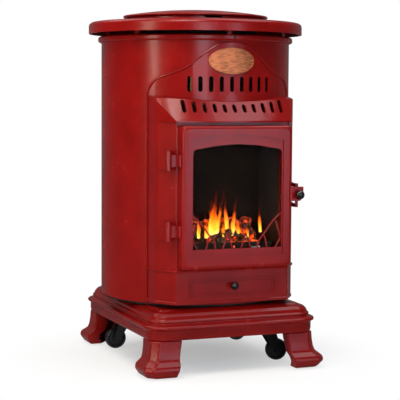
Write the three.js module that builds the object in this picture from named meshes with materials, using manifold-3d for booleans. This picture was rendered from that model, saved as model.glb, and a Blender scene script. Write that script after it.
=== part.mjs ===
// Portable cabinet gas heater with a glazed door, a louvred hood and a moulded plinth on feet.
// Millimetres, +Z up, front towards -Y. Heights are measured from the soles of the feet and
// plan positions from the upright axis of the round cabinet; the group at the end moves them all.

import * as THREE from 'three';
import { mergeVertices } from 'three/addons/utils/BufferGeometryUtils.js';
import Module from 'manifold-3d';

const wasm = await Module();
wasm.setup();

// Facet counts
const ROUND_SIDES = 48;
const SMALL_SIDES = 12;
const ARC_STEPS = 4;
const CREST_STEPS = 18;
const BEAD_STEPS = 40;

// Shared allowances
const CLEARANCE = 0.3;
const OVERRUN = 5;
const SHEET = 2;

// Cabinet drum
const CABINET_RADIUS = 218;
const CABINET_BOTTOM = 145;
const CABINET_TOP = 737;
const CABINET_FLANGE = 28;
const BASE_RING_WIDTH = 10;
const COLLAR_PROUD = 7.6;
const COLLAR_HEIGHT = 13;
const COLLAR_EDGE = 3;
const FRONT_OPENING_HALF = 120;
const FRONT_OPENING_BOTTOM = 245;
const FRONT_OPENING_TOP = 585;
const CREST_VENT_HALF = 102;
const CREST_VENT_BOTTOM = 605;
const CREST_VENT_TOP = 652;
const REAR_OPENING_HALF = 160;
const REAR_OPENING_BOTTOM = 168;
const REAR_OPENING_TOP = 690;

// Crest panel and its slots
const CREST_SHEET = 3;
const CREST_HALF_ANGLE = 50.5;
const CREST_TOP = 723.5;
const CREST_SHOULDER = 611;
const CREST_BEAD_RADIUS = 2.4;
const crestShares = [
  [0, 1], [0.158, 0.951], [0.263, 0.84], [0.343, 0.756], [0.436, 0.619], [0.479, 0.551],
  [0.598, 0.444], [0.756, 0.347], [0.865, 0.284], [0.96, 0.133], [1, 0],
];
const CREST_SLOT_COUNT = 9;
const CREST_SLOT_PITCH_ANGLE = 6.15;
const CREST_SLOT_WIDTH = 9.8;
const CREST_SLOT_BOTTOM = 611.7;
const CREST_SLOT_TOP = 646;

// Oval plate on the crest
const PLATE_HALF_WIDTH = 54;
const PLATE_HALF_HEIGHT = 28.8;
const PLATE_CENTRE = 679.4;
const PLATE_THICKNESS = 2.2;
const PLATE_RIM = 2.6;
const PLATE_RIM_PROUD = 0.9;

// Front casting below the hood; its plan is reckoned from the drum's radius
const BODY_PROUD = 14;
const BODY_FRONT = CABINET_RADIUS + BODY_PROUD;
const BODY_HALF_WIDTH = 132.5;
const KNEE_INSET = 55;
const KNEE_HALF_WIDTH = CABINET_RADIUS - KNEE_INSET;
const KNEE_SETBACK = 30;
const KNEE_FRONT = CABINET_RADIUS - KNEE_SETBACK;
const CHEEK_INSET = 51;
const CHEEK_HALF_WIDTH = CABINET_RADIUS - CHEEK_INSET;
const CHEEK_SETBACK = 58;
const CHEEK_FRONT = CABINET_RADIUS - CHEEK_SETBACK;
const BODY_BACK = 100;
const BODY_CORNER_RADIUS = 4;
const KNEE_RADIUS = 18;
const BODY_BOTTOM = 151;
const BODY_TOP = 546.5;
const BODY_WALL = 5;
const BODY_LIP = 1.5;
const BODY_LIP_HEIGHT = 5;
const BODY_BEAD_CENTRE = 224.5;
const BODY_BEAD_RADIUS = 3.5;
const NECK_HEIGHT = 10.5;
const NECK_DEPTH = 3;
const NECK_WALL = 5;
const DOORWAY_HALF = 112;
const DOORWAY_BOTTOM = 247;
const DOORWAY_TOP = 513;
const DOORWAY_RADIUS = 12;

// Raised panel lines and the knob of the lower front
const PANEL_HALF_WIDTH = 103.5;
const PANEL_BOTTOM = 166;
const PANEL_TOP = 204.5;
const PANEL_RADIUS = 8;
const PANEL_LINE = 2.6;
const PANEL_LINE_PROUD = 1.4;
const PANEL_LINE_PITCH = 5.6;
const PANEL_KNOB_RADIUS = 8.5;
const PANEL_KNOB_HEIGHT = 189.3;
const PANEL_KNOB_STEM_RADIUS = 4;
const PANEL_KNOB_STEM = 4;

// Hood: a bowed front leans back from its lip to an upper edge, and a ledge meets the drum
const HOOD_CORNER_OUT = 135.5;
const HOOD_CORNER_PROUD = 5.5;
const HOOD_BOW = 20.5;
const HOOD_BOW_STEPS = 10;
const HOOD_LIP = 3.5;
const HOOD_WALL = 4;
const HOOD_RIDGE_TOP = 593.5;
const HOOD_EDGE = 590.5;
const HOOD_EDGE_RISE = 7.5;
const HOOD_LEDGE = 3;
const HOOD_KNEE_LEDGE = 2;
const HOOD_JUNCTION = 592;
const HOOD_JUNCTION_RISE = 12.6;
const HOOD_ROOM = 45;
const HOOD_SLOT_COUNT = 11;
const HOOD_SLOT_PITCH = 22.9;
const HOOD_SLOT_WIDTH = 9.4;
const HOOD_SLOT_BOTTOM = 566.8;
const HOOD_SLOT_TOP = 585.3;
const HOOD_SLOT_RISE = 10;
const HOOD_SLOT_DEPTH = 14;

// Door casting
const DOOR_HALF_WIDTH = 129.5;
const DOOR_BOTTOM = 229;
const DOOR_TOP = 540;
const DOOR_CORNER_RADIUS = 10;
const DOOR_DEPTH = 28;
const DOOR_GAP = 1;
const DOOR_EDGE_RADIUS = 8;
const DOOR_WALL = 5;
const DOOR_FRONT_WALL = 6;
const RECESS_DEPTH = 3;
const RECESS_HALF_WIDTH = 107.5;
const RECESS_BOTTOM = 257.5;
const RECESS_SHOULDER = 508;
const RECESS_CROWN = 521.4;
const WINDOW_HALF_WIDTH = 104.5;
const WINDOW_BOTTOM = 273;
const WINDOW_SHOULDER = 478;
const WINDOW_CORNER_HALF = 90;
const WINDOW_CORNER_TOP = 490;
const WINDOW_CROWN = 500;
const BOSS_RADIUS = 3.5;
const BOSS_HALF_SPACING = 117.5;
const BOSS_LOW = 300;
const BOSS_HIGH = 455;

// Glazing behind the door casting
const SEAL_OFFSET = 3;
const SEAL_WIDTH = 5;
const SEAL_THICKNESS = 4.4;
const GLASS_OFFSET = 8;
const GLASS_THICKNESS = 4;
const RETAINER_OFFSET = 1.5;
const RETAINER_WIDTH = 15.5;
const RETAINER_SHEET = 1.5;

// Fret bars in the window, with places measured from the middle of the sill
const FRET_BAR = 3;
const FRET_THICKNESS = 3;
const FRET_SILL = 2.4;
const FRET_END = 106.6;
const fretArcShares = [[0.465, 0], [0.492, 0.208], [0.624, 0.429], [0.793, 0.74], [1, 1]];
const FRET_ARC_RISE = 77;
const FRET_CHEVRON_HIGH = [93, 58];
const FRET_CHEVRON_POINT = [104.5, 21];
const FRET_CHEVRON_FOOT = [92, 0];
const FRET_STRUT_HIGH = [65.5, 25.5];
const FRET_STRUT_FOOT = [72.3, 0];
const FRET_GABLE_TOP = [21.5, 33];
const FRET_GABLE_INNER = [10, 0];
const FRET_GABLE_OUTER = [33, 0];

// Door hinges
const HINGE_OUT = 153;
const HINGE_FRONT = 238;
const HINGE_BARREL_RADIUS = 6.5;
const HINGE_PIN_RADIUS = 3;
const HINGE_BOTTOMS = [292, 444];
const HINGE_LENGTH = 41;
const STRAP_LENGTH = 25;
const STRAP_THICKNESS = 4;
const STRAP_FRONT = 252;
const STRAP_BACK = 235;
const HINGE_ARM_WIDTH = 7;
const HINGE_LEAF_START = 16;
const HINGE_LEAF_END = 48;
const HINGE_LEAF_THICKNESS = 4.7;
const PIN_HEAD_RADIUS = 5;
const PIN_HEAD_HEIGHT = 3;

// Door latch and its keeper
const LUG_LEFT = 122;
const LUG_RIGHT = 154;
const LUG_BOTTOM = 374;
const LUG_TOP = 405;
const LUG_CHAMFER = 8;
const LUG_PROUD = 4.2;
const LUG_BACK = 256;
const LATCH_OUT = 141;
const LATCH_HEIGHT = 388;
const LATCH_BALL_RADIUS = 10.25;
const LATCH_FLAT_RADIUS = 5;
const SPINDLE_RADIUS = 3;
const TONGUE_WIDTH = 6;
const TONGUE_REACH = 12.5;
const TONGUE_THICKNESS = 4;
const KEEPER_LEFT = 145.5;
const KEEPER_RIGHT = 152;
const KEEPER_FRONT = 243;
const KEEPER_SHEET = 4;
const KEEPER_BOTTOM = 358;
const KEEPER_TOP = 411;
const KEEPER_LEG = 8;
const KEEPER_FOOT_END = 46;

// Firebox and fire bed
const FIREBOX_HALF = 112;
const FIREBOX_BOTTOM = 252;
const FIREBOX_TOP = 520;
const FIREBOX_BACK = 118;
const FIREBOX_SHEET = 1.5;
const FIREBOX_FLANGE = 9;
const FIREBOX_RADIUS = 6;
const FLUE_HALF = 80;
const FLUE_FRONT = 200;
const FLUE_BACK = 140;
const BACK_PANEL_THICKNESS = 6;
const BACK_PANEL_BOTTOM = 290;
const BACK_PANEL_MARGIN = 3;
const TRAY_HALF = 104;
const TRAY_FRONT = 216;
const TRAY_BACK = 128;
const TRAY_HEIGHT = 28;
const TRAY_WALL = 3;
const TRAY_TAPER = 6;
const COAL_BED_HEIGHT = 24;
const COAL_COLUMNS = 7;
const COAL_ROWS = 3;
const COAL_RADIUS = 16;
const COAL_STEP = 11;
const COAL_SWELL_TURN = 2.4;
const COAL_RISE_TURN = 1.7;
const PILOT_OUT = 62;
const PILOT_WIDTH = 22;
const PILOT_HEIGHT = 18;
const PILOT_SHEET = 1.5;
const PILOT_JET_RADIUS = 3.2;
const PILOT_JET_HEIGHT = 16;
const PILOT_GAP = 0.5;

// Heat shield and gas train
const SHIELD_FRONT = 105;
const SHIELD_SHEET = 1.5;
const SHIELD_BOTTOM = 160;
const SHIELD_TOP = 700;
const SHIELD_EDGE_GAP = 0.4;
const VALVE_OUT = 55;
const VALVE_FRONT = 20;
const VALVE_RADIUS = 16;
const VALVE_HEIGHT = 38;
const VALVE_STUB_RADIUS = 6.5;
const VALVE_STUB_LENGTH = 12;
const VALVE_STUB_DROP = 21;
const PIPE_RADIUS = 4;
const PIPE_BEND = 18;
const PIPE_BACK = 112;
const PIPE_LOW = 240;
const PIPE_RISE_FRONT = 165;
const PIPE_STEPS = 40;
const HOSE_RADIUS = 7;
const HOSE_STEPS = 24;
const HOSE_STRAIGHT = 14;
const REGULATOR_INSET = 53;
const REGULATOR_OUT = CABINET_RADIUS - REGULATOR_INSET;
const REGULATOR_BACK = 20;
const REGULATOR_RADIUS = 27;
const REGULATOR_HEIGHT = 34;
const REGULATOR_NIPPLE_RADIUS = 6;
const REGULATOR_NIPPLE = 14;
const SHELF_TOP = 400;
const SHELF_SHEET = 2;
const SHELF_DEPTH = 82;
const SHELF_INNER = CABINET_RADIUS - SHELF_DEPTH;
const SHELF_FRONT = 12;
const SHELF_BACK = 52;
const SHELF_FLANGE = 24;
const SHELF_EDGE_GAP = 0.5;

// Middle of the hose's route: inset from the drum's radius, place behind the middle and height
const hoseRoute = [
  [90, -14, 706],
  [64, 4, 672],
  [52, 18, 620],
  [50, 22, 560],
];
const HOSE_DROP_HEIGHT = 490;

// Top plate, control well and lid
const PLATE_RADIUS = 247.3;
const PLATE_BOTTOM = 744;
const PLATE_TOP = 770.5;
const PLATE_SHOULDER = 10.5;
const PLATE_WALL = 5;
const PLATE_FLAT_INNER = 185;
const PLATE_CROWN = 4.5;
const PLATE_SKIRT = 6;
const RING_OUTER = 160;
const RING_INNER = 152;
const RING_TOP = 781;
const RING_EDGE = 2;
const NOTCH_WIDTH = 40;
const NOTCH_ANGLE = -7;
const NOTCH_STEP = 1;
const FOOT_POST_COUNT = 6;
const FOOT_POST_RADIUS = 8;
const FOOT_POST_CIRCLE = 204;
const WELL_RADIUS = 138;
const WELL_FLOOR = 743;
const WELL_FLANGE = 22;
const CONTROL_RADIUS = 23;
const CONTROL_HEIGHT = 24;
const CONTROL_WAIST = 19;
const CONTROL_SKIRT = 4.7;
const CONTROL_SHAFT_RADIUS = 4;
const CONTROL_GRIP_WIDTH = 7;
const CONTROL_GRIP_HEIGHT = 5;
const IGNITER_OUT = 55;
const IGNITER_RADIUS = 9;
const IGNITER_LENGTH = 42;
const IGNITER_SOCKET_DEPTH = 17;
const PLUNGER_RADIUS = 5.7;
const PLUNGER_DEPTH = 12;
const BUTTON_RADIUS = 8;
const BUTTON_HEIGHT = 7;
const BUTTON_TRAVEL_ROOM = 4;
const LID_RADIUS = 167.6;
const LID_EDGE_HEIGHT = 4.7;
const LID_CROWN = 14;
const LID_WALL = 5;
const LID_RIM_WIDTH = 12;
const LID_EDGE = 1.5;
const LID_STEPS = 6;
const LID_PIN_OUT = 8.4;
const LID_PIN_RISE = 5.5;
const LID_PIN_RADIUS = 3;
const LID_EAR_RADIUS = 7;
const LID_EAR_INNER = 14;
const LID_EAR_OUTER = 20;
const LID_KNUCKLE_HALF = 13.5;
const LID_KNUCKLE_RADIUS = 6.5;
const LID_TAIL_OVERLAP = 5.6;

// Rear cover
const COVER_HALF = 170;
const COVER_BOTTOM = 158;
const COVER_TOP = 704;
const COVER_SHEET = 1.6;
const COVER_SLOT_COUNT = 7;
const COVER_SLOT_PITCH_ANGLE = 9;
const COVER_SLOT_WIDTH = 8;
const COVER_SLOT_HEIGHT = 45;
const COVER_SLOT_MARGIN = 40;

// Plinth and floor plate
const PLINTH_HALF_WIDTH = 196.6;
const PLINTH_FRONT = 257;
const PLINTH_BACK = 224;
const PLINTH_CORNER = 42;
const PLINTH_BOTTOM = 78.3;
const PLINTH_TOP = 141;
const PLINTH_WALL = 7;
const plinthProfile = [
  { outset: -2, height: PLINTH_BOTTOM },
  { outset: 0, height: 84 },
  { outset: 0, height: 100, inside: true },
  { outset: 6.2, height: 103.5 },
  { outset: 7, height: 107 },
  { outset: 4.5, height: 110 },
  { outset: -6.6, height: 114, inside: true },
  { outset: -4.6, height: 118.6 },
  { outset: -9, height: 122.6 },
  { outset: -11.5, height: 128.5 },
  { outset: -18, height: 135, inside: true },
  { outset: -30, height: 138 },
  { outset: -33, height: PLINTH_TOP },
];
const DECK_HOLE_RADIUS = 150;
const DECK_HOLE_BACK = 38;
const FLOOR_SHEET = 3;

// Feet
const LEG_HEIGHT = 78;
const LEG_OUTER_INSET = 4;
const LEG_FACE_WIDTH = 68;
const LEG_SIDE_WIDTH = 66;
const LEG_ARM = 30;
const LEG_CORNER = 16;
const LEG_WALL = 7;
const LEG_TOP_FLANGE = 8;
const LEG_SIDE_DRAFT_SHARE = 0.4;
const legProfile = [
  { outset: 12, inner: 15, height: 0 },
  { outset: 15, inner: 15, height: 5 },
  { outset: 21, inner: 13, height: 14 },
  { outset: 19, inner: 10, height: 24 },
  { outset: 12, inner: 8, height: 30 },
  { outset: 6, inner: 7, height: 35 },
  { outset: 3, inner: 5.5, height: 45 },
  { outset: 1, inner: 3, height: 60 },
  { outset: 0, inner: 0, height: 78 },
];

// Castors
const FOOT_CLEARANCE = 3;
const CASTOR_FRONT_OUT = 126;
const CASTOR_FRONT = 146;
const CASTOR_REAR_OUT = 137;
const CASTOR_BACK = 112;
const CASTOR_PLATE_LENGTH = 44;
const CASTOR_PLATE_WIDTH = 36;
const CASTOR_PLATE_SHEET = 2.5;
const KINGPIN_RADIUS = 5;
const KINGPIN_HEAD_RADIUS = 9;
const KINGPIN_HEAD_HEIGHT = 3;
const RACE_RADIUS = 17;
const RACE_HEIGHT = 9;
const FORK_SHEET = 2.5;
const FORK_HALF_LENGTH = 15;
const FORK_HALF_GAP = 11.5;
const FORK_TIP_RADIUS = 8;
const WHEEL_RADIUS = 25;
const WHEEL_WIDTH = 20;
const WHEEL_TREAD_ROUND = 4;
const WHEEL_HUB_RADIUS = 9;
const WHEEL_RECESS_RADIUS = 18;
const WHEEL_RECESS_DEPTH = 3;
const AXLE_RADIUS = 3.5;
const AXLE_END = 2;
const CASTOR_TRAIL = 21;

// Sizes that follow from the ones above
const CREST_INNER = CABINET_RADIUS + CLEARANCE;
const CREST_RADIUS = CABINET_RADIUS + CREST_SHEET;
const BODY_ROOT = Math.sqrt(CABINET_RADIUS ** 2 - (CHEEK_HALF_WIDTH - BODY_WALL) ** 2);
const HOOD_CORNER_FRONT = BODY_FRONT + HOOD_CORNER_PROUD;
const DOOR_BACK = BODY_FRONT + DOOR_GAP;
const DOOR_FACE = DOOR_BACK + DOOR_DEPTH;
const GLAZING_FRONT = DOOR_FACE - DOOR_FRONT_WALL - CLEARANCE;
const GLASS_FRONT = GLAZING_FRONT - SEAL_THICKNESS - CLEARANCE;
const RETAINER_FRONT = GLASS_FRONT - GLASS_THICKNESS - CLEARANCE;
const FRET_BASE = WINDOW_BOTTOM - CLEARANCE;
const LUG_FACE = DOOR_FACE + LUG_PROUD;
const KNOB_BACK = LUG_FACE + CLEARANCE;
const LATCH_BALL_DEPTH = LATCH_BALL_RADIUS + Math.sqrt(LATCH_BALL_RADIUS ** 2 - LATCH_FLAT_RADIUS ** 2);
const FRONT_REACH = KNOB_BACK + LATCH_BALL_DEPTH;
const FIREBOX_FRONT = BODY_FRONT - BODY_WALL - CLEARANCE;
const TRAY_BOTTOM = FIREBOX_BOTTOM + FIREBOX_SHEET + CLEARANCE;
const VALVE_TOP = WELL_FLOOR - CLEARANCE;
const VALVE_STUB_HEIGHT = VALVE_TOP - VALVE_STUB_DROP;
const REGULATOR_BOTTOM = SHELF_TOP + CLEARANCE;
const REGULATOR_TOP = REGULATOR_BOTTOM + REGULATOR_HEIGHT + REGULATOR_NIPPLE;
const PLATE_UNDERSIDE = PLATE_TOP - PLATE_WALL;
const NOTCH_BOTTOM = PLATE_TOP + PLATE_CROWN + NOTCH_STEP;
const LID_BOTTOM = RING_TOP + CLEARANCE;
const LID_PIN_BACK = LID_RADIUS + LID_PIN_OUT;
const LID_PIN_HEIGHT = RING_TOP + LID_PIN_RISE;
const BUTTON_REST = WELL_FLOOR + SHEET + BUTTON_TRAVEL_ROOM;
const WHEEL_CENTRE = WHEEL_RADIUS - FOOT_CLEARANCE;
const CASTOR_PLATE_TOP = PLINTH_BOTTOM - CLEARANCE;
const CASTOR_PLATE_BOTTOM = CASTOR_PLATE_TOP - CASTOR_PLATE_SHEET;
const RACE_TOP = CASTOR_PLATE_BOTTOM - CLEARANCE;
const RACE_BOTTOM = RACE_TOP - RACE_HEIGHT;
const CENTRE_SHIFT = (FRONT_REACH - PLATE_RADIUS) / 2;

// Colours and surfaces
const redEnamel = { color: 0x841418, roughness: 0.38, metalness: 0.25 };
const plinthEnamel = { color: 0x7a1a1f, roughness: 0.42, metalness: 0.25 };
const copper = { color: 0xd98a62, roughness: 0.35, metalness: 0.9 };
const blackGloss = { color: 0x0c0c0d, roughness: 0.18, metalness: 0 };
const blackRubber = { color: 0x141414, roughness: 0.6, metalness: 0 };
const zinc = { color: 0xa9adb0, roughness: 0.35, metalness: 0.9 };
const darkSteel = { color: 0x2a2624, roughness: 0.6, metalness: 0.6 };
const brass = { color: 0xb58d4a, roughness: 0.35, metalness: 0.9 };
const clearGlass = { color: 0x3a2a22, roughness: 0.05, metalness: 0, transparent: true, opacity: 0.3 };
const ropeSeal = { color: 0x3d3a36, roughness: 0.95, metalness: 0 };
const fibreBoard = { color: 0x2b1b14, roughness: 0.95, metalness: 0 };
const emberCeramic = { color: 0x8a4a22, roughness: 0.9, metalness: 0 };
const orangeHose = { color: 0xc65a1e, roughness: 0.6, metalness: 0 };

// Vectors and angles
const AXIS_X = new THREE.Vector3(1, 0, 0);
const AXIS_Y = new THREE.Vector3(0, 1, 0);
const AXIS_Z = new THREE.Vector3(0, 0, 1);
const QUARTER_TURN = Math.PI / 2;
const radians = THREE.MathUtils.degToRad;

// Turns the faces of a closed geometry outwards
function facingOut(geometry) {
  const place = geometry.attributes.position;
  const index = geometry.index.array;
  const [a, b, c] = [new THREE.Vector3(), new THREE.Vector3(), new THREE.Vector3()];
  let volume = 0;
  for (let k = 0; k < index.length; k += 3) {
    a.fromBufferAttribute(place, index[k]);
    b.fromBufferAttribute(place, index[k + 1]);
    c.fromBufferAttribute(place, index[k + 2]);
    volume += a.dot(b.cross(c));
  }
  if (volume < 0) {
    for (let k = 0; k < index.length; k += 3) {
      [index[k], index[k + 2]] = [index[k + 2], index[k]];
    }
  }
  return geometry;
}

// Geometry to solid and back
function toSolid(geometry) {
  const bare = geometry.clone();
  bare.deleteAttribute('normal');
  bare.deleteAttribute('uv');
  const merged = facingOut(mergeVertices(bare));
  return new wasm.Manifold(new wasm.Mesh({
    numProp: 3,
    vertProperties: new Float32Array(merged.attributes.position.array),
    triVerts: new Uint32Array(merged.index.array),
  }));
}

function toGeometry(solid) {
  const mesh = solid.getMesh();
  const geometry = new THREE.BufferGeometry();
  geometry.setAttribute('position', new THREE.BufferAttribute(new Float32Array(mesh.vertProperties), 3));
  geometry.setIndex(new THREE.BufferAttribute(new Uint32Array(mesh.triVerts), 1));
  return geometry;
}

function join(...geometries) {
  return toGeometry(geometries.map(toSolid).reduce((whole, next) => whole.add(next)));
}

function cut(geometry, ...cutters) {
  return toGeometry(cutters.map(toSolid).reduce((whole, next) => whole.subtract(next), toSolid(geometry)));
}

function common(geometry, other) {
  return toGeometry(toSolid(geometry).intersect(toSolid(other)));
}

// Ring or disc turned about the upright axis from [radius, height] points, closed or on the axis
function turned(profile, sides = ROUND_SIDES) {
  const points = profile.map(([radius, height]) => new THREE.Vector2(radius, height));
  const onAxis = points[0].x === 0 && points[points.length - 1].x === 0;
  if (!onAxis) points.push(points[0].clone());
  return new THREE.LatheGeometry(points, sides).rotateX(QUARTER_TURN);
}

// Extrusions upwards, along Y and along X
function extruded(shape, depth) {
  return new THREE.ExtrudeGeometry(shape, { depth, bevelEnabled: false, curveSegments: ARC_STEPS });
}

function upright(shape, bottom, top) {
  return extruded(shape, top - bottom).translate(0, 0, bottom);
}

function facing(shape, front, back) {
  return extruded(shape, back - front).rotateX(QUARTER_TURN).translate(0, back, 0);
}

function sideways(shape, left, right) {
  const turn = new THREE.Matrix4().makeBasis(AXIS_Y, AXIS_Z, AXIS_X);
  return extruded(shape, right - left).applyMatrix4(turn).translate(left, 0, 0);
}

function post(x, y, radius, bottom, top, sides = SMALL_SIDES) {
  return new THREE.CylinderGeometry(radius, radius, top - bottom, sides)
    .rotateX(QUARTER_TURN)
    .translate(x, y, (bottom + top) / 2);
}

function rodAlongY(x, z, radius, front, back, sides = SMALL_SIDES) {
  return new THREE.CylinderGeometry(radius, radius, back - front, sides).translate(x, (front + back) / 2, z);
}

function rodAlongX(y, z, radius, left, right, sides = SMALL_SIDES) {
  return new THREE.CylinderGeometry(radius, radius, right - left, sides)
    .rotateZ(QUARTER_TURN)
    .translate((left + right) / 2, y, z);
}

// Flat outlines
function outline(points) {
  return new THREE.Shape(points.map((point) => (point.isVector2 ? point : new THREE.Vector2(...point))));
}

function rectangle(left, right, bottom, top) {
  return outline([[left, bottom], [right, bottom], [right, top], [left, top]]);
}

function disc(x, y, radius, sides = SMALL_SIDES) {
  const points = [];
  for (let k = 0; k < sides; k += 1) {
    const angle = (k / sides) * 2 * Math.PI;
    points.push([x + radius * Math.cos(angle), y + radius * Math.sin(angle)]);
  }
  return outline(points);
}

// Moves each side of a closed counterclockwise outline outwards by the same distance
function offsetOutline(points, distance) {
  return points.map((point, k) => {
    const before = points[(k + points.length - 1) % points.length];
    const after = points[(k + 1) % points.length];
    const into = point.clone().sub(before).normalize();
    const out = after.clone().sub(point).normalize();
    const bisector = new THREE.Vector2(into.y + out.y, -into.x - out.x).normalize();
    const reach = distance / Math.max(bisector.x * into.y - bisector.y * into.x, 0.2);
    return point.clone().addScaledVector(bisector, reach);
  });
}

// Outline with arcs at its corners, from [x, y, radius] corners in counterclockwise order
function roundedOutline(corners, steps = ARC_STEPS) {
  const points = [];
  corners.forEach(([x, y, radius], k) => {
    const corner = new THREE.Vector2(x, y);
    const [beforeX, beforeY] = corners[(k + corners.length - 1) % corners.length];
    const [afterX, afterY] = corners[(k + 1) % corners.length];
    const into = corner.clone().sub(new THREE.Vector2(beforeX, beforeY)).normalize();
    const out = new THREE.Vector2(afterX, afterY).sub(corner).normalize();
    const turn = Math.acos(THREE.MathUtils.clamp(into.dot(out), -1, 1));
    if (radius === 0) {
      points.push(corner);
      return;
    }
    const reach = radius * Math.tan(turn / 2);
    const start = corner.clone().addScaledVector(into, -reach);
    const side = into.x * out.y - into.y * out.x > 0 ? 1 : -1;
    const centre = start.clone().add(new THREE.Vector2(-into.y, into.x).multiplyScalar(side * radius));
    for (let step = 0; step <= steps; step += 1) {
      points.push(start.clone().rotateAround(centre, (side * turn * step) / steps));
    }
  });
  return points;
}

function roundedRectangle(halfWidth, bottom, top, radius, steps = ARC_STEPS) {
  return roundedOutline([
    [-halfWidth, bottom, radius], [halfWidth, bottom, radius],
    [halfWidth, top, radius], [-halfWidth, top, radius],
  ], steps);
}

// Solid through stacked outlines that all have the same number of points
function loft(levels) {
  const count = levels[0].points.length;
  const positions = [];
  const index = [];
  levels.forEach(({ points, height }) => points.forEach((point) => positions.push(point.x, point.y, height)));
  for (let level = 0; level < levels.length - 1; level += 1) {
    for (let k = 0; k < count; k += 1) {
      const a = level * count + k;
      const b = level * count + ((k + 1) % count);
      index.push(a, b, b + count, a, b + count, a + count);
    }
  }
  const last = (levels.length - 1) * count;
  THREE.ShapeUtils.triangulateShape(levels[0].points, []).forEach(([a, b, c]) => index.push(c, b, a));
  THREE.ShapeUtils.triangulateShape(levels[levels.length - 1].points, [])
    .forEach(([a, b, c]) => index.push(last + a, last + b, last + c));
  const geometry = new THREE.BufferGeometry();
  geometry.setAttribute('position', new THREE.Float32BufferAttribute(positions, 3));
  geometry.setIndex(index);
  return geometry;
}

// Loft whose levels run towards the front, with outlines in X and Z
function loftForward(levels) {
  return loft(levels).rotateX(QUARTER_TURN);
}

// Loft whose levels run along X, with outlines in Y and Z
function loftSideways(levels) {
  return loft(levels).applyMatrix4(new THREE.Matrix4().makeBasis(AXIS_Y, AXIS_Z, AXIS_X));
}

// Round bar along a space curve
function barAlong(points, radius, steps, sides = 6) {
  const section = disc(0, 0, radius, sides);
  const extrudePath = new THREE.CatmullRomCurve3(points, false, 'centripetal');
  return new THREE.ExtrudeGeometry(section, { steps, bevelEnabled: false, extrudePath });
}

// Copies of a cutter turned about the upright axis, evenly spaced about a middle direction
function fanned(cutter, count, pitchAngle, middleAngle = 0) {
  return Array.from({ length: count }, (_, k) => {
    const angle = middleAngle + (k - (count - 1) / 2) * pitchAngle;
    return cutter.clone().rotateZ(radians(angle));
  });
}

// Upright slot with round ends, cut along Y
function slotCutter(x, width, bottom, top, front, back, steps = ARC_STEPS) {
  const radius = width / 2;
  const points = [];
  for (let step = 0; step <= steps; step += 1) {
    const angle = Math.PI + (step / steps) * Math.PI;
    points.push([x + radius * Math.cos(angle), bottom + radius + radius * Math.sin(angle)]);
  }
  for (let step = 0; step <= steps; step += 1) {
    const angle = (step / steps) * Math.PI;
    points.push([x + radius * Math.cos(angle), top - radius + radius * Math.sin(angle)]);
  }
  return facing(outline(points), front, back);
}

// Ball on a short stem along +Z, with a flat where it meets the stem or its seat
function ballKnob(radius, flatRadius, stemRadius, stemLength, steps = 7) {
  const seat = stemLength + Math.sqrt(radius ** 2 - flatRadius ** 2);
  const start = Math.asin(flatRadius / radius);
  const profile = stemLength > 0 ? [[0, 0], [stemRadius, 0], [stemRadius, stemLength]] : [[0, 0]];
  for (let step = 0; step < steps; step += 1) {
    const angle = start + ((Math.PI - start) * step) / steps;
    profile.push([radius * Math.sin(angle), seat - radius * Math.cos(angle)]);
  }
  profile.push([0, seat + radius]);
  return turned(profile, SMALL_SIDES);
}

// Cabinet drum with its fire opening, crest vent and bottle opening
function cabinetShell() {
  const inner = CABINET_RADIUS - SHEET;
  const flange = CABINET_RADIUS - CABINET_FLANGE;
  const drum = turned([
    [inner, CABINET_BOTTOM], [CABINET_RADIUS, CABINET_BOTTOM], [CABINET_RADIUS, CABINET_TOP],
    [flange, CABINET_TOP], [flange, CABINET_TOP - SHEET], [inner, CABINET_TOP - SHEET],
  ]);
  const reach = CABINET_RADIUS + OVERRUN;
  const fire = rectangle(-FRONT_OPENING_HALF, FRONT_OPENING_HALF, FRONT_OPENING_BOTTOM, FRONT_OPENING_TOP);
  const vent = rectangle(-CREST_VENT_HALF, CREST_VENT_HALF, CREST_VENT_BOTTOM, CREST_VENT_TOP);
  const bottle = rectangle(-REAR_OPENING_HALF, REAR_OPENING_HALF, REAR_OPENING_BOTTOM, REAR_OPENING_TOP);
  return cut(drum, facing(fire, -reach, 0), facing(vent, -reach, 0), facing(bottle, 0, reach));
}

function cabinetBaseRing() {
  const outer = CABINET_RADIUS - SHEET;
  const inner = outer - BASE_RING_WIDTH;
  const top = CABINET_BOTTOM + SHEET;
  return turned([[inner, PLINTH_TOP], [outer, PLINTH_TOP], [outer, top], [inner, top]]);
}

function topCollar() {
  const inner = CABINET_RADIUS + CLEARANCE;
  const outer = CABINET_RADIUS + COLLAR_PROUD;
  const bottom = CABINET_TOP - COLLAR_HEIGHT;
  return turned([
    [inner, bottom], [outer - COLLAR_EDGE, bottom], [outer, bottom + COLLAR_EDGE],
    [outer, CABINET_TOP - COLLAR_EDGE], [outer - COLLAR_EDGE, CABINET_TOP], [inner, CABINET_TOP],
  ]);
}

// Ogee edge of the crest from its left shoulder over the top to its right shoulder
function crestCurve(inset) {
  const rise = CREST_TOP - CREST_SHOULDER;
  const half = crestShares.map(([angleShare, heightShare]) => {
    const angle = radians(CREST_HALF_ANGLE * angleShare);
    return new THREE.Vector2(CREST_RADIUS * Math.sin(angle), CREST_SHOULDER + rise * heightShare);
  });
  const left = half.slice(1).reverse().map((point) => new THREE.Vector2(-point.x, point.y));
  const curve = new THREE.SplineCurve([...left, ...half]);
  return Array.from({ length: 2 * CREST_STEPS + 1 }, (_, k) => {
    const share = k / (2 * CREST_STEPS);
    const tangent = curve.getTangentAt(share);
    if (k === 0 || k === 2 * CREST_STEPS) tangent.set(0, Math.sign(tangent.y));
    const point = curve.getPointAt(share);
    return point.add(new THREE.Vector2(tangent.y, -tangent.x).multiplyScalar(inset));
  });
}

function onCrest(point) {
  return new THREE.Vector3(point.x, -Math.sqrt(CREST_RADIUS ** 2 - point.x ** 2), point.y);
}

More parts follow.
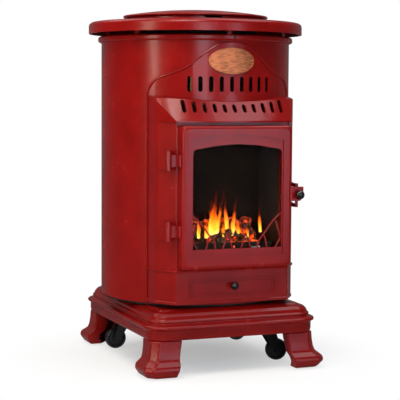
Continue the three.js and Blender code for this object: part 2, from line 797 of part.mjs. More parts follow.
// Upright edge beads of the crest panel, or the room that they need
function crestSideBeads(radius) {
  const [start] = crestCurve(CREST_BEAD_RADIUS);
  const foot = onCrest(start);
  return [-1, 1].map((side) => post(side * foot.x, foot.y, radius, CABINET_BOTTOM, CREST_SHOULDER, 6));
}

function crestPanel() {
  const sheet = turned([
    [CREST_INNER, CABINET_BOTTOM], [CREST_RADIUS, CABINET_BOTTOM],
    [CREST_RADIUS, CREST_TOP + OVERRUN], [CREST_INNER, CREST_TOP + OVERRUN],
  ]);
  const edge = crestCurve(0);
  const left = edge[0].x;
  const right = edge[edge.length - 1].x;
  const low = CABINET_BOTTOM - OVERRUN;
  const face = outline([[left, low], [right, low], ...edge.reverse()]);
  const reach = CREST_RADIUS + OVERRUN;
  const blank = common(sheet, facing(face, -reach, 0));
  const bead = barAlong(crestCurve(CREST_BEAD_RADIUS).map(onCrest), CREST_BEAD_RADIUS, BEAD_STEPS);
  const fire = rectangle(-FRONT_OPENING_HALF, FRONT_OPENING_HALF, FRONT_OPENING_BOTTOM, FRONT_OPENING_TOP);
  const slot = slotCutter(
    0, CREST_SLOT_WIDTH, CREST_SLOT_BOTTOM, CREST_SLOT_TOP, -reach, OVERRUN - CABINET_RADIUS,
  );
  return cut(
    join(blank, bead, ...crestSideBeads(CREST_BEAD_RADIUS)),
    facing(fire, -reach, 0),
    ...fanned(slot, CREST_SLOT_COUNT, CREST_SLOT_PITCH_ANGLE),
  );
}

// Copper oval, curved to the crest, with a raised rim
function ovalPlate() {
  const inner = CREST_RADIUS + CLEARANCE;
  const face = inner + PLATE_THICKNESS;
  const rim = face + PLATE_RIM_PROUD;
  const bottom = PLATE_CENTRE - PLATE_HALF_HEIGHT - OVERRUN;
  const top = PLATE_CENTRE + PLATE_HALF_HEIGHT + OVERRUN;
  const oval = (inset) => outline(Array.from({ length: 2 * SMALL_SIDES }, (_, k) => {
    const angle = (k / SMALL_SIDES) * Math.PI;
    const across = (PLATE_HALF_WIDTH - inset) * Math.cos(angle);
    return [across, PLATE_CENTRE + (PLATE_HALF_HEIGHT - inset) * Math.sin(angle)];
  }));
  const body = turned([[inner, bottom], [rim, bottom], [rim, top], [inner, top]]);
  const hollow = turned([[face, bottom], [rim + OVERRUN, bottom], [rim + OVERRUN, top], [face, top]]);
  const dish = common(hollow, facing(oval(PLATE_RIM), -rim - OVERRUN, 0));
  return cut(common(body, facing(oval(0), -rim - OVERRUN, 0)), dish);
}

// Plan of the front casting, moved outwards by an offset
function bodyPlan(offset) {
  const corners = [
    [-CHEEK_HALF_WIDTH, -BODY_BACK], [-CHEEK_HALF_WIDTH, -CHEEK_FRONT],
    [-KNEE_HALF_WIDTH, -KNEE_FRONT], [-BODY_HALF_WIDTH, -BODY_FRONT],
    [BODY_HALF_WIDTH, -BODY_FRONT], [KNEE_HALF_WIDTH, -KNEE_FRONT],
    [CHEEK_HALF_WIDTH, -CHEEK_FRONT], [CHEEK_HALF_WIDTH, -BODY_BACK],
  ].map(([x, y]) => new THREE.Vector2(x, y));
  const radii = [0, 0, KNEE_RADIUS, BODY_CORNER_RADIUS, BODY_CORNER_RADIUS, KNEE_RADIUS, 0, 0];
  const moved = offsetOutline(corners, offset);
  return roundedOutline(moved.map((point, k) => [point.x, point.y, radii[k]]));
}

// Room that the castings on the front leave for the drum, its crest panel and the panel's beads
function cabinetRoom() {
  const behind = rectangle(-CABINET_RADIUS, CABINET_RADIUS, -BODY_ROOT, 0);
  return [
    post(0, 0, CREST_RADIUS + CLEARANCE, CABINET_BOTTOM - OVERRUN, CREST_TOP, ROUND_SIDES),
    upright(behind, CABINET_BOTTOM - OVERRUN, CREST_TOP),
    ...crestSideBeads(CREST_BEAD_RADIUS + CLEARANCE),
  ];
}

function bodyBeadLevels() {
  const steps = ARC_STEPS;
  return Array.from({ length: steps + 1 }, (_, k) => {
    const angle = (k / steps - 1 / 2) * Math.PI;
    const points = bodyPlan(BODY_BEAD_RADIUS * Math.cos(angle));
    return { points, height: BODY_BEAD_CENTRE + BODY_BEAD_RADIUS * Math.sin(angle) };
  });
}

// Hollow front casting with its lip, bead, groove under the hood, doorway and raised panel lines
function frontBody() {
  const top = BODY_TOP - CLEARANCE;
  const neck = BODY_TOP - NECK_HEIGHT;
  const outer = loft([
    { points: bodyPlan(BODY_LIP), height: BODY_BOTTOM },
    { points: bodyPlan(BODY_LIP), height: BODY_BOTTOM + BODY_LIP_HEIGHT },
    { points: bodyPlan(0), height: BODY_BOTTOM + BODY_LIP_HEIGHT + BODY_LIP },
    ...bodyBeadLevels(),
    { points: bodyPlan(0), height: top },
  ]);
  const groove = rectangle(
    -BODY_HALF_WIDTH, BODY_HALF_WIDTH, -BODY_FRONT - OVERRUN, -BODY_FRONT + NECK_DEPTH,
  );
  const inner = loft([
    { points: bodyPlan(-BODY_WALL), height: BODY_BOTTOM + BODY_WALL },
    { points: bodyPlan(-BODY_WALL), height: neck - NECK_WALL },
    { points: bodyPlan(-NECK_DEPTH - NECK_WALL), height: neck },
    { points: bodyPlan(-NECK_DEPTH - NECK_WALL), height: top + OVERRUN },
  ]);
  const doorway = outline(roundedRectangle(DOORWAY_HALF, DOORWAY_BOTTOM, DOORWAY_TOP, DOORWAY_RADIUS));
  const hollow = cut(
    outer, inner, facing(doorway, -BODY_FRONT - OVERRUN, -BODY_BACK), upright(groove, neck, top + OVERRUN),
  );
  return cut(join(hollow, ...panelLines()), ...cabinetRoom());
}

// Two raised lines, one inside the other, that draw a panel on the lower front
function panelLines() {
  return [0, PANEL_LINE_PITCH].map((inset) => {
    const ring = (extra) => outline(roundedRectangle(
      PANEL_HALF_WIDTH - inset - extra, PANEL_BOTTOM + inset + extra,
      PANEL_TOP - inset - extra, PANEL_RADIUS - extra,
    ));
    const shape = ring(0);
    shape.holes.push(ring(PANEL_LINE));
    return facing(shape, -BODY_FRONT - PANEL_LINE_PROUD, -BODY_FRONT + BODY_WALL / 2);
  });
}

function panelKnob() {
  const knob = ballKnob(PANEL_KNOB_RADIUS, PANEL_KNOB_STEM_RADIUS, PANEL_KNOB_STEM_RADIUS, PANEL_KNOB_STEM);
  return knob.rotateX(QUARTER_TURN).translate(0, -BODY_FRONT - CLEARANCE, PANEL_KNOB_HEIGHT);
}

// How far the hood's lip stands in front of the axis at a place across
function hoodLip(x) {
  return HOOD_CORNER_FRONT + HOOD_BOW * (1 - (x / HOOD_CORNER_OUT) ** 2);
}

// Places across the hood's front, from corner to corner
function hoodBowPlaces() {
  const half = HOOD_BOW_STEPS / 2;
  return Array.from({ length: HOOD_BOW_STEPS + 1 }, (_, k) => HOOD_CORNER_OUT * (k / half - 1));
}

// Plan of the hood, flush with the cheeks at the knees, moved outwards by an offset
function hoodPlan(offset) {
  const corners = [
    [-CHEEK_HALF_WIDTH, -BODY_BACK], [-CHEEK_HALF_WIDTH, -CHEEK_FRONT], [-KNEE_HALF_WIDTH, -KNEE_FRONT],
    ...hoodBowPlaces().map((x) => [x, -hoodLip(x)]),
    [KNEE_HALF_WIDTH, -KNEE_FRONT], [CHEEK_HALF_WIDTH, -CHEEK_FRONT], [CHEEK_HALF_WIDTH, -BODY_BACK],
  ].map(([x, y]) => new THREE.Vector2(x, y));
  const moved = offsetOutline(corners, offset);
  const knees = [2, moved.length - 3];
  return roundedOutline(moved.map((point, k) => [point.x, point.y, knees.includes(k) ? KNEE_RADIUS : 0]));
}

// Section of the hood at a place across: the foot of its front, the upper edge and the drum's line.
// Past the front corners the foot climbs along a straight ridge to the knee.
function hoodSection(x) {
  const out = Math.min(Math.abs(x), KNEE_HALF_WIDTH);
  const past = Math.max(out - HOOD_CORNER_OUT, 0) / (KNEE_HALF_WIDTH - HOOD_CORNER_OUT);
  const share = out / KNEE_HALF_WIDTH;
  const swell = (1 - Math.cos(Math.PI * share)) / 2;
  const lipTop = BODY_TOP + HOOD_LIP;
  const centreEdge = CREST_RADIUS + HOOD_LEDGE;
  return {
    foot: past > 0 ? HOOD_CORNER_FRONT + (KNEE_FRONT - HOOD_CORNER_FRONT) * past : hoodLip(x),
    footHeight: lipTop + (HOOD_RIDGE_TOP - lipTop) * past,
    edge: centreEdge + (KNEE_FRONT - HOOD_KNEE_LEDGE - centreEdge) * share ** 4,
    edgeHeight: HOOD_EDGE + HOOD_EDGE_RISE * swell,
    junction: HOOD_JUNCTION + HOOD_JUNCTION_RISE * swell,
  };
}

// Solid above the hood's front and ledge
function aboveHood() {
  const ridgeWidth = KNEE_HALF_WIDTH - HOOD_CORNER_OUT;
  const ridge = [1 / 3, 2 / 3, 1].map((share) => HOOD_CORNER_OUT + ridgeWidth * share);
  const side = [...ridge, CHEEK_HALF_WIDTH + OVERRUN];
  const places = [...side.map((x) => -x).reverse(), ...hoodBowPlaces(), ...side];
  const top = HOOD_EDGE + HOOD_ROOM;
  return loftSideways(places.map((x) => {
    const { foot, footHeight, edge, edgeHeight, junction } = hoodSection(x);
    const drum = Math.sqrt(CREST_RADIUS ** 2 - x ** 2) - OVERRUN;
    const drop = (OVERRUN * (edgeHeight - footHeight)) / (foot - edge);
    const points = [
      [-foot - OVERRUN, footHeight - drop], [-edge, edgeHeight], [-drum, junction],
      [-drum, top], [-foot - OVERRUN, top],
    ];
    return { points: points.map(([y, z]) => new THREE.Vector2(y, z)), height: x };
  }));
}

function hoodSlots() {
  const middle = (HOOD_SLOT_COUNT - 1) / 2;
  return Array.from({ length: HOOD_SLOT_COUNT }, (_, k) => {
    const x = (k - middle) * HOOD_SLOT_PITCH;
    const top = HOOD_SLOT_TOP + HOOD_SLOT_RISE * ((k - middle) / middle) ** 2;
    const { foot, edge } = hoodSection(x);
    return slotCutter(x, HOOD_SLOT_WIDTH, HOOD_SLOT_BOTTOM, top, -foot - OVERRUN, -edge + HOOD_SLOT_DEPTH);
  });
}

// Louvred hood over the door, hollow and open below to the front casting
function hood() {
  const top = HOOD_EDGE + HOOD_ROOM - OVERRUN;
  const lipTop = BODY_TOP + HOOD_LIP;
  const prism = (points, bottom, end) => loft([{ points, height: bottom }, { points, height: end }]);
  const above = aboveHood();
  const ceiling = above.clone().translate(0, HOOD_WALL, -HOOD_WALL);
  const room = cut(prism(hoodPlan(-HOOD_WALL), lipTop, top), ceiling);
  const mouth = prism(bodyPlan(-NECK_DEPTH - NECK_WALL), BODY_TOP - OVERRUN, lipTop + CLEARANCE);
  const shell = cut(prism(hoodPlan(0), BODY_TOP, top), above, room, mouth);
  return cut(shell, ...hoodSlots(), ...cabinetRoom());
}

// Arched outlines of the door
function recessOutline() {
  const shape = new THREE.Shape();
  shape.moveTo(-RECESS_HALF_WIDTH, RECESS_BOTTOM);
  shape.lineTo(RECESS_HALF_WIDTH, RECESS_BOTTOM);
  shape.lineTo(RECESS_HALF_WIDTH, RECESS_SHOULDER);
  shape.quadraticCurveTo(0, 2 * RECESS_CROWN - RECESS_SHOULDER, -RECESS_HALF_WIDTH, RECESS_SHOULDER);
  return shape;
}

function windowOutline(offset) {
  const shape = new THREE.Shape();
  const half = WINDOW_HALF_WIDTH;
  shape.moveTo(-half, WINDOW_BOTTOM);
  shape.lineTo(half, WINDOW_BOTTOM);
  shape.lineTo(half, WINDOW_SHOULDER);
  shape.quadraticCurveTo(half, WINDOW_CORNER_TOP, WINDOW_CORNER_HALF, WINDOW_CORNER_TOP);
  shape.quadraticCurveTo(0, 2 * WINDOW_CROWN - WINDOW_CORNER_TOP, -WINDOW_CORNER_HALF, WINDOW_CORNER_TOP);
  shape.quadraticCurveTo(-half, WINDOW_CORNER_TOP, -half, WINDOW_SHOULDER);
  const points = shape.getPoints(ARC_STEPS);
  const unique = points.filter((point, k) => k === 0 || point.distanceTo(points[k - 1]) > 0);
  return outline(offsetOutline(unique, offset));
}

function windowRing(inner, outer, front, thickness) {
  const shape = windowOutline(outer);
  shape.holes.push(windowOutline(inner));
  return facing(shape, -front, -front + thickness);
}

// Door casting: rounded edges, stepped arched recess, window, hollow back, bosses and latch lug
function doorFrame() {
  const face = (inset) => roundedRectangle(
    DOOR_HALF_WIDTH - inset, DOOR_BOTTOM + inset, DOOR_TOP - inset, DOOR_CORNER_RADIUS,
  );
  const shoulder = DOOR_FACE - DOOR_EDGE_RADIUS;
  const rounding = Array.from({ length: ARC_STEPS }, (_, k) => {
    const angle = ((k + 1) / ARC_STEPS) * QUARTER_TURN;
    return {
      points: face(DOOR_EDGE_RADIUS * (1 - Math.cos(angle))),
      height: shoulder + DOOR_EDGE_RADIUS * Math.sin(angle),
    };
  });
  const block = loftForward([
    { points: face(0), height: DOOR_BACK }, { points: face(0), height: shoulder }, ...rounding,
  ]);
  const wallBack = -DOOR_FACE + DOOR_FRONT_WALL;
  const hollow = facing(outline(face(DOOR_WALL)), wallBack, -DOOR_BACK + OVERRUN);
  const recess = facing(recessOutline(), -DOOR_FACE - OVERRUN, -DOOR_FACE + RECESS_DEPTH);
  const window = facing(windowOutline(0), -DOOR_FACE - OVERRUN, wallBack + OVERRUN);
  const bosses = [-1, 1].flatMap((side) => [BOSS_LOW, BOSS_HIGH].map((height) => rodAlongY(
    side * BOSS_HALF_SPACING, height, BOSS_RADIUS, wallBack - CLEARANCE, -RETAINER_FRONT - CLEARANCE, 8,
  )));
  const spindleHole = rodAlongY(
    LATCH_OUT, LATCH_HEIGHT, SPINDLE_RADIUS + CLEARANCE, -LUG_FACE - OVERRUN, -LUG_BACK + OVERRUN,
  );
  return cut(join(cut(block, hollow, recess, window), ...bosses, latchLug()), spindleHole);
}

function latchLug() {
  const shape = outline([
    [LUG_LEFT, LUG_BOTTOM], [LUG_RIGHT - LUG_CHAMFER, LUG_BOTTOM],
    [LUG_RIGHT, LUG_BOTTOM + LUG_CHAMFER], [LUG_RIGHT, LUG_TOP], [LUG_LEFT, LUG_TOP],
  ]);
  return facing(shape, -LUG_FACE, -LUG_BACK);
}

// Flat bar of the fret between two places over the sill
function fretBar([fromX, fromZ], [toX, toZ], side) {
  const from = new THREE.Vector2(side * fromX, FRET_BASE + fromZ);
  const to = new THREE.Vector2(side * toX, FRET_BASE + toZ);
  const along = to.clone().sub(from).normalize();
  const across = new THREE.Vector2(-along.y, along.x).multiplyScalar(FRET_BAR / 2);
  from.addScaledVector(along, -FRET_BAR / 2);
  to.addScaledVector(along, FRET_BAR / 2);
  const corners = [
    from.clone().sub(across), to.clone().sub(across), to.clone().add(across), from.clone().add(across),
  ];
  return facing(outline(corners), -GLAZING_FRONT, -GLAZING_FRONT + FRET_THICKNESS);
}

function fretArc(side) {
  const middle = fretArcShares.map(([acrossShare, riseShare]) => new THREE.Vector2(
    FRET_END * acrossShare, FRET_BASE + FRET_ARC_RISE * riseShare,
  ));
  const curve = new THREE.SplineCurve(middle);
  const edges = [[], []];
  for (let k = 0; k <= 2 * ARC_STEPS; k += 1) {
    const share = k / (2 * ARC_STEPS);
    const point = curve.getPointAt(share);
    const tangent = curve.getTangentAt(share);
    const across = new THREE.Vector2(-tangent.y, tangent.x).multiplyScalar(FRET_BAR / 2);
    edges[0].push([side * (point.x - across.x), point.y - across.y]);
    edges[1].unshift([side * (point.x + across.x), point.y + across.y]);
  }
  return facing(outline(edges.flat()), -GLAZING_FRONT, -GLAZING_FRONT + FRET_THICKNESS);
}

// Fret of arched and leaning bars that rise from a strip along the sill
function windowFret() {
  const strip = rectangle(-FRET_END, FRET_END, FRET_BASE - FRET_SILL, FRET_BASE + CLEARANCE);
  const bars = [-1, 1].flatMap((side) => [
    fretArc(side),
    fretBar(FRET_CHEVRON_HIGH, FRET_CHEVRON_POINT, side),
    fretBar(FRET_CHEVRON_POINT, FRET_CHEVRON_FOOT, side),
    fretBar(FRET_STRUT_HIGH, FRET_STRUT_FOOT, side),
    fretBar(FRET_GABLE_TOP, FRET_GABLE_INNER, side),
    fretBar(FRET_GABLE_TOP, FRET_GABLE_OUTER, side),
  ]);
  const whole = join(facing(strip, -GLAZING_FRONT, -GLAZING_FRONT + FRET_THICKNESS), ...bars);
  const trim = rectangle(-FRET_END, FRET_END, FRET_BASE - FRET_SILL, WINDOW_CROWN);
  return common(whole, facing(trim, -DOOR_FACE, -DOOR_BACK));
}

function doorGlass() {
  return facing(windowOutline(GLASS_OFFSET), -GLASS_FRONT, -GLASS_FRONT + GLASS_THICKNESS);
}

// Place on the left chamfer of the front casting, from the corner along it and out from it
function onCheek(along, out, side) {
  const run = new THREE.Vector2(KNEE_HALF_WIDTH - BODY_HALF_WIDTH, BODY_FRONT - KNEE_FRONT).normalize();
  const x = BODY_HALF_WIDTH + run.x * along + run.y * out;
  const y = -BODY_FRONT + run.y * along - run.x * out;
  return [side * x, y];
}

// Straight arm in plan between two places
function armOutline([fromX, fromY], [toX, toY], width) {
  const from = new THREE.Vector2(fromX, fromY);
  const to = new THREE.Vector2(toX, toY);
  const across = to.clone().sub(from).normalize().rotateAround(new THREE.Vector2(), QUARTER_TURN);
  across.multiplyScalar(width / 2);
  return outline([
    from.clone().sub(across), to.clone().sub(across),
    to.clone().add(across), from.clone().add(across),
  ]);
}

// Leaf on the cabinet's cheek with two knuckles
function hingeBracket(bottom) {
  const top = bottom + HINGE_LENGTH;
  const knuckle = (HINGE_LENGTH - STRAP_LENGTH) / 2 - CLEARANCE;
  const leaf = outline([
    onCheek(HINGE_LEAF_START, CLEARANCE, -1), onCheek(HINGE_LEAF_END, CLEARANCE, -1),
    onCheek(HINGE_LEAF_END, HINGE_LEAF_THICKNESS, -1), onCheek(HINGE_LEAF_START, HINGE_LEAF_THICKNESS, -1),
  ]);
  const root = onCheek(HINGE_LEAF_START + HINGE_ARM_WIDTH / 2, HINGE_LEAF_THICKNESS / 2, -1);
  const arm = armOutline(root, [-HINGE_OUT, -HINGE_FRONT], HINGE_ARM_WIDTH);
  const barrel = disc(-HINGE_OUT, -HINGE_FRONT, HINGE_BARREL_RADIUS);
  const knuckles = [bottom, top - knuckle].flatMap((start) => [
    upright(arm, start, start + knuckle), upright(barrel, start, start + knuckle),
  ]);
  return cut(join(upright(leaf, bottom, top), ...knuckles), hingeBore(bottom));
}

function hingeBore(bottom) {
  return post(
    -HINGE_OUT, -HINGE_FRONT, HINGE_PIN_RADIUS + CLEARANCE, bottom - OVERRUN, bottom + HINGE_LENGTH + OVERRUN,
  );
}

// Strap on the edge of the door with one knuckle between the bracket's two
function doorStrap(bottom) {
  const start = bottom + (HINGE_LENGTH - STRAP_LENGTH) / 2;
  const end = start + STRAP_LENGTH;
  const outer = -DOOR_HALF_WIDTH - CLEARANCE;
  const leaf = rectangle(outer - STRAP_THICKNESS, outer, -STRAP_FRONT, -STRAP_BACK);
  const arm = armOutline(
    [-HINGE_OUT, -HINGE_FRONT], [outer - STRAP_THICKNESS / 2, -HINGE_FRONT], HINGE_ARM_WIDTH - 2 * CLEARANCE,
  );
  const barrel = disc(-HINGE_OUT, -HINGE_FRONT, HINGE_BARREL_RADIUS);
  return cut(join(...[leaf, arm, barrel].map((shape) => upright(shape, start, end))), hingeBore(bottom));
}

function hingePin(bottom) {
  const top = bottom + HINGE_LENGTH + CLEARANCE;
  return turned([
    [0, bottom], [HINGE_PIN_RADIUS, bottom], [HINGE_PIN_RADIUS, top], [PIN_HEAD_RADIUS, top],
    [PIN_HEAD_RADIUS, top + PIN_HEAD_HEIGHT / 2], [0, top + PIN_HEAD_HEIGHT],
  ], SMALL_SIDES).translate(-HINGE_OUT, -HINGE_FRONT, 0);
}

// Ball of the latch and the spindle behind it, whose tongue turns behind the keeper
function latchKnob() {
  const ball = ballKnob(LATCH_BALL_RADIUS, LATCH_FLAT_RADIUS, 0, 0);
  return ball.rotateX(QUARTER_TURN).translate(LATCH_OUT, -KNOB_BACK, LATCH_HEIGHT);
}

function latchSpindle() {
  const tongueFront = -KEEPER_FRONT + KEEPER_SHEET + CLEARANCE;
  const tongueBack = tongueFront + TONGUE_THICKNESS;
  const half = TONGUE_WIDTH / 2;
  const rod = rodAlongY(LATCH_OUT, LATCH_HEIGHT, SPINDLE_RADIUS, -LUG_FACE, tongueBack);
  const tongue = outline(roundedOutline([
    [LATCH_OUT - half, LATCH_HEIGHT - TONGUE_REACH, half / 2],
    [LATCH_OUT + half, LATCH_HEIGHT - TONGUE_REACH, half / 2],
    [LATCH_OUT + half, LATCH_HEIGHT, 0], [LATCH_OUT - half, LATCH_HEIGHT, 0],
  ]));
  const collar = rodAlongY(
    LATCH_OUT, LATCH_HEIGHT, LATCH_FLAT_RADIUS,
    -LUG_BACK + CLEARANCE, -LUG_BACK + CLEARANCE + KEEPER_SHEET / 2,
  );
  return join(rod, collar, facing(tongue, tongueFront, tongueBack));
}

// Keeper strap that stands off the right cheek on two legs
function keeperPlate() {
  const cheekY = (x) => {
    const run = (KNEE_FRONT - BODY_FRONT) / (KNEE_HALF_WIDTH - BODY_HALF_WIDTH);
    const slant = Math.hypot(1, run);
    return -BODY_FRONT - run * (x - BODY_HALF_WIDTH) - CLEARANCE * slant;
  };
  const strap = rectangle(KEEPER_LEFT, KEEPER_RIGHT, -KEEPER_FRONT, -KEEPER_FRONT + KEEPER_SHEET);
  const leg = outline([
    [KEEPER_LEFT, -KEEPER_FRONT], [KEEPER_RIGHT, -KEEPER_FRONT],
    [KEEPER_RIGHT, cheekY(KEEPER_RIGHT)], [KEEPER_LEFT, cheekY(KEEPER_LEFT)],
  ]);
  const cheekAngle = Math.atan2(BODY_FRONT - KNEE_FRONT, KNEE_HALF_WIDTH - BODY_HALF_WIDTH);
  const along = (KEEPER_LEFT - BODY_HALF_WIDTH) / Math.cos(cheekAngle);
  const foot = outline([
    onCheek(along, CLEARANCE, 1), onCheek(along, KEEPER_SHEET, 1),
    onCheek(KEEPER_FOOT_END, KEEPER_SHEET, 1), onCheek(KEEPER_FOOT_END, CLEARANCE, 1),
  ].reverse());
  const ends = [KEEPER_BOTTOM, KEEPER_TOP - KEEPER_LEG].flatMap((start) => [
    upright(leg, start, start + KEEPER_LEG), upright(foot, start, start + KEEPER_LEG),
  ]);
  return join(upright(strap, KEEPER_BOTTOM, KEEPER_TOP), ...ends);
}

// Firebox: open-fronted sheet box with a front flange, a flue slot and a pipe hole
function firebox() {
  const box = (inset, radius) => outline(roundedRectangle(
    FIREBOX_HALF - inset, FIREBOX_BOTTOM + inset, FIREBOX_TOP - inset, radius, 2,
  ));
  const outer = facing(box(0, FIREBOX_RADIUS), -FIREBOX_FRONT, -FIREBOX_BACK);
  const flange = facing(box(-FIREBOX_FLANGE, FIREBOX_RADIUS), -FIREBOX_FRONT, -FIREBOX_FRONT + FIREBOX_SHEET);
  const inner = facing(
    box(FIREBOX_SHEET, FIREBOX_RADIUS), -FIREBOX_FRONT - OVERRUN, -FIREBOX_BACK - FIREBOX_SHEET,
  );
  const flue = rectangle(-FLUE_HALF, FLUE_HALF, -FLUE_FRONT, -FLUE_BACK);
  const pipeHole = post(
    -VALVE_OUT, -PIPE_RISE_FRONT, PIPE_RADIUS + CLEARANCE, FIREBOX_BOTTOM - OVERRUN, FIREBOX_BOTTOM + OVERRUN,
  );
  const flueHole = upright(flue, FIREBOX_TOP - OVERRUN, FIREBOX_TOP + OVERRUN);
  return cut(join(outer, flange), inner, flueHole, pipeHole);
}

function fireboxBackPanel() {
  const half = FIREBOX_HALF - FIREBOX_SHEET - BACK_PANEL_MARGIN;
  const top = FIREBOX_TOP - FIREBOX_SHEET - BACK_PANEL_MARGIN;
  const back = -FIREBOX_BACK - FIREBOX_SHEET - CLEARANCE;
  const board = facing(rectangle(-half, half, BACK_PANEL_BOTTOM, top), back - BACK_PANEL_THICKNESS, back);
  return board;
}

// Burner tray, narrower at the bottom, with the ceramic fire bed in it
function trayLevel(inset, height) {
  const points = [
    [-TRAY_HALF + inset, -TRAY_FRONT + inset], [TRAY_HALF - inset, -TRAY_FRONT + inset],
    [TRAY_HALF - inset, -TRAY_BACK - inset], [-TRAY_HALF + inset, -TRAY_BACK - inset],
  ].map(([x, y]) => new THREE.Vector2(x, y));
  return { points, height };
}

function burnerTray() {
  const top = TRAY_BOTTOM + TRAY_HEIGHT;
  const outer = loft([trayLevel(TRAY_TAPER, TRAY_BOTTOM), trayLevel(0, top)]);
  const floor = TRAY_BOTTOM + TRAY_WALL;
  const inner = loft([trayLevel(TRAY_TAPER + TRAY_WALL, floor), trayLevel(TRAY_WALL, top + CLEARANCE)]);
  return cut(outer, inner);
}

function coalBed() {
  const bottom = TRAY_BOTTOM + TRAY_WALL + CLEARANCE;
  const top = bottom + COAL_BED_HEIGHT;
  const seat = TRAY_TAPER + TRAY_WALL + CLEARANCE;
  const rim = TRAY_WALL + 2 * CLEARANCE;
  const slab = loft([trayLevel(seat, bottom), trayLevel(rim, top)]);
  const width = 2 * (TRAY_HALF - rim - COAL_RADIUS);
  const depth = TRAY_FRONT - TRAY_BACK - 2 * (rim + COAL_RADIUS);
  const lumps = [];
  for (let row = 0; row < COAL_ROWS; row += 1) {
    const back = -TRAY_BACK - rim - COAL_RADIUS / 2;
    const front = depth * (row / (COAL_ROWS - 1) - 1 / 2) - (TRAY_FRONT + TRAY_BACK) / 2 - COAL_RADIUS / 2;
    const step = rectangle(-width / 2 - COAL_RADIUS / 2, width / 2 + COAL_RADIUS / 2, front, back);
    lumps.push(upright(step, bottom, top + COAL_STEP * row));
    for (let column = 0; column < COAL_COLUMNS; column += 1) {
      const turn = row * COAL_COLUMNS + column;
      const swell = 1 + Math.sin(turn * COAL_SWELL_TURN) / 6;
      const lump = new THREE.IcosahedronGeometry(COAL_RADIUS, 0)
        .scale(swell, 1, 1 / swell)
        .rotateX(turn)
        .rotateZ(turn * 2)
        .translate(
          width * (column / (COAL_COLUMNS - 1) - 1 / 2),
          depth * (row / (COAL_ROWS - 1) - 1 / 2) - (TRAY_FRONT + TRAY_BACK) / 2,
          top + COAL_STEP * row * (1 + Math.cos(turn * COAL_RISE_TURN) / 3) + COAL_RADIUS / 3,
        );
      lumps.push(lump);
    }
  }
  const room = loft([trayLevel(rim, top), trayLevel(rim, top + 2 * COAL_STEP * COAL_ROWS)]);
  return common(join(slab, ...lumps), join(slab, room));
}

function pilotAssembly() {
  const bottom = TRAY_BOTTOM;
  const back = -TRAY_FRONT - PILOT_GAP;
  const left = PILOT_OUT - PILOT_WIDTH / 2;
  const blank = rectangle(left, left + PILOT_WIDTH, bottom, bottom + PILOT_HEIGHT);
  const plate = facing(blank, back - PILOT_SHEET, back);
  const foot = new THREE.BoxGeometry(PILOT_WIDTH, 2 * PILOT_JET_RADIUS + PILOT_SHEET, PILOT_SHEET)
    .translate(PILOT_OUT, back - PILOT_SHEET / 2 - PILOT_JET_RADIUS, bottom + PILOT_SHEET / 2);
  const jets = [-1, 1].map((side) => post(
    PILOT_OUT + side * PILOT_WIDTH / 4, back - PILOT_SHEET / 2 - PILOT_JET_RADIUS,
    PILOT_JET_RADIUS, bottom, bottom + PILOT_JET_HEIGHT + side * PILOT_SHEET, 8,
  ));
  return join(plate, foot, ...jets);
}

// Heat shield across the drum between the firebox and the bottle
function heatShield() {
  const reach = (CABINET_RADIUS - SHEET) * Math.cos(Math.PI / ROUND_SIDES) - SHIELD_EDGE_GAP;
  const half = Math.sqrt(reach ** 2 - SHIELD_FRONT ** 2);
  const blank = rectangle(-half, half, SHIELD_BOTTOM, SHIELD_TOP);
  return facing(blank, -SHIELD_FRONT, -SHIELD_FRONT + SHIELD_SHEET);
}

// Gas valve with an outlet to the front and an inlet to the left
function gasValve() {
  const bottom = VALVE_TOP - VALVE_HEIGHT;
  const reach = VALVE_RADIUS + VALVE_STUB_LENGTH;
  const body = post(-VALVE_OUT, -VALVE_FRONT, VALVE_RADIUS, bottom, VALVE_TOP);
  const outlet = rodAlongY(
    -VALVE_OUT, VALVE_STUB_HEIGHT, VALVE_STUB_RADIUS, -VALVE_FRONT - reach, -VALVE_FRONT, 8,
  );
  const inlet = rodAlongX(
    -VALVE_FRONT, VALVE_STUB_HEIGHT, VALVE_STUB_RADIUS, -VALVE_OUT - reach, -VALVE_OUT, 8,
  );
  return join(body, outlet, inlet);
}

// Route through straight runs with round bends, as points for a curve
function bentRoute(corners, bend) {
  const points = [corners[0]];
  for (let k = 1; k < corners.length - 1; k += 1) {
    const into = corners[k].clone().sub(corners[k - 1]).normalize();
    const out = corners[k + 1].clone().sub(corners[k]).normalize();
    const curve = new THREE.QuadraticBezierCurve3(
      corners[k].clone().addScaledVector(into, -bend),
      corners[k],
      corners[k].clone().addScaledVector(out, bend),
    );
    points.push(...curve.getPoints(ARC_STEPS));
  }
  points.push(corners[corners.length - 1]);
  return points;
}

function burnerPipe() {
  const start = -VALVE_FRONT - VALVE_RADIUS - VALVE_STUB_LENGTH - CLEARANCE;
  const end = FIREBOX_BOTTOM + FIREBOX_SHEET;
  const corners = [
    [-VALVE_OUT, start, VALVE_STUB_HEIGHT], [-VALVE_OUT, -PIPE_BACK, VALVE_STUB_HEIGHT],
    [-VALVE_OUT, -PIPE_BACK, PIPE_LOW], [-VALVE_OUT, -PIPE_RISE_FRONT, PIPE_LOW],
    [-VALVE_OUT, -PIPE_RISE_FRONT, end],
  ].map((corner) => new THREE.Vector3(...corner));
  const bend = Math.min(PIPE_BEND, (end - PIPE_LOW) / 2);
  const upper = bentRoute(corners.slice(0, 4), PIPE_BEND);
  const lower = bentRoute([upper[upper.length - 1], ...corners.slice(4)], bend);
  const last = upper.pop();
  upper.push(last.clone().addScaledVector(AXIS_Y, bend));
  const bendEnd = last.clone().addScaledVector(AXIS_Z, bend);
  const turn = new THREE.QuadraticBezierCurve3(upper[upper.length - 1], last, bendEnd);
  const points = [...upper, ...turn.getPoints(ARC_STEPS).slice(1), lower[lower.length - 1]];
  return barAlong(points, PIPE_RADIUS, PIPE_STEPS);
}

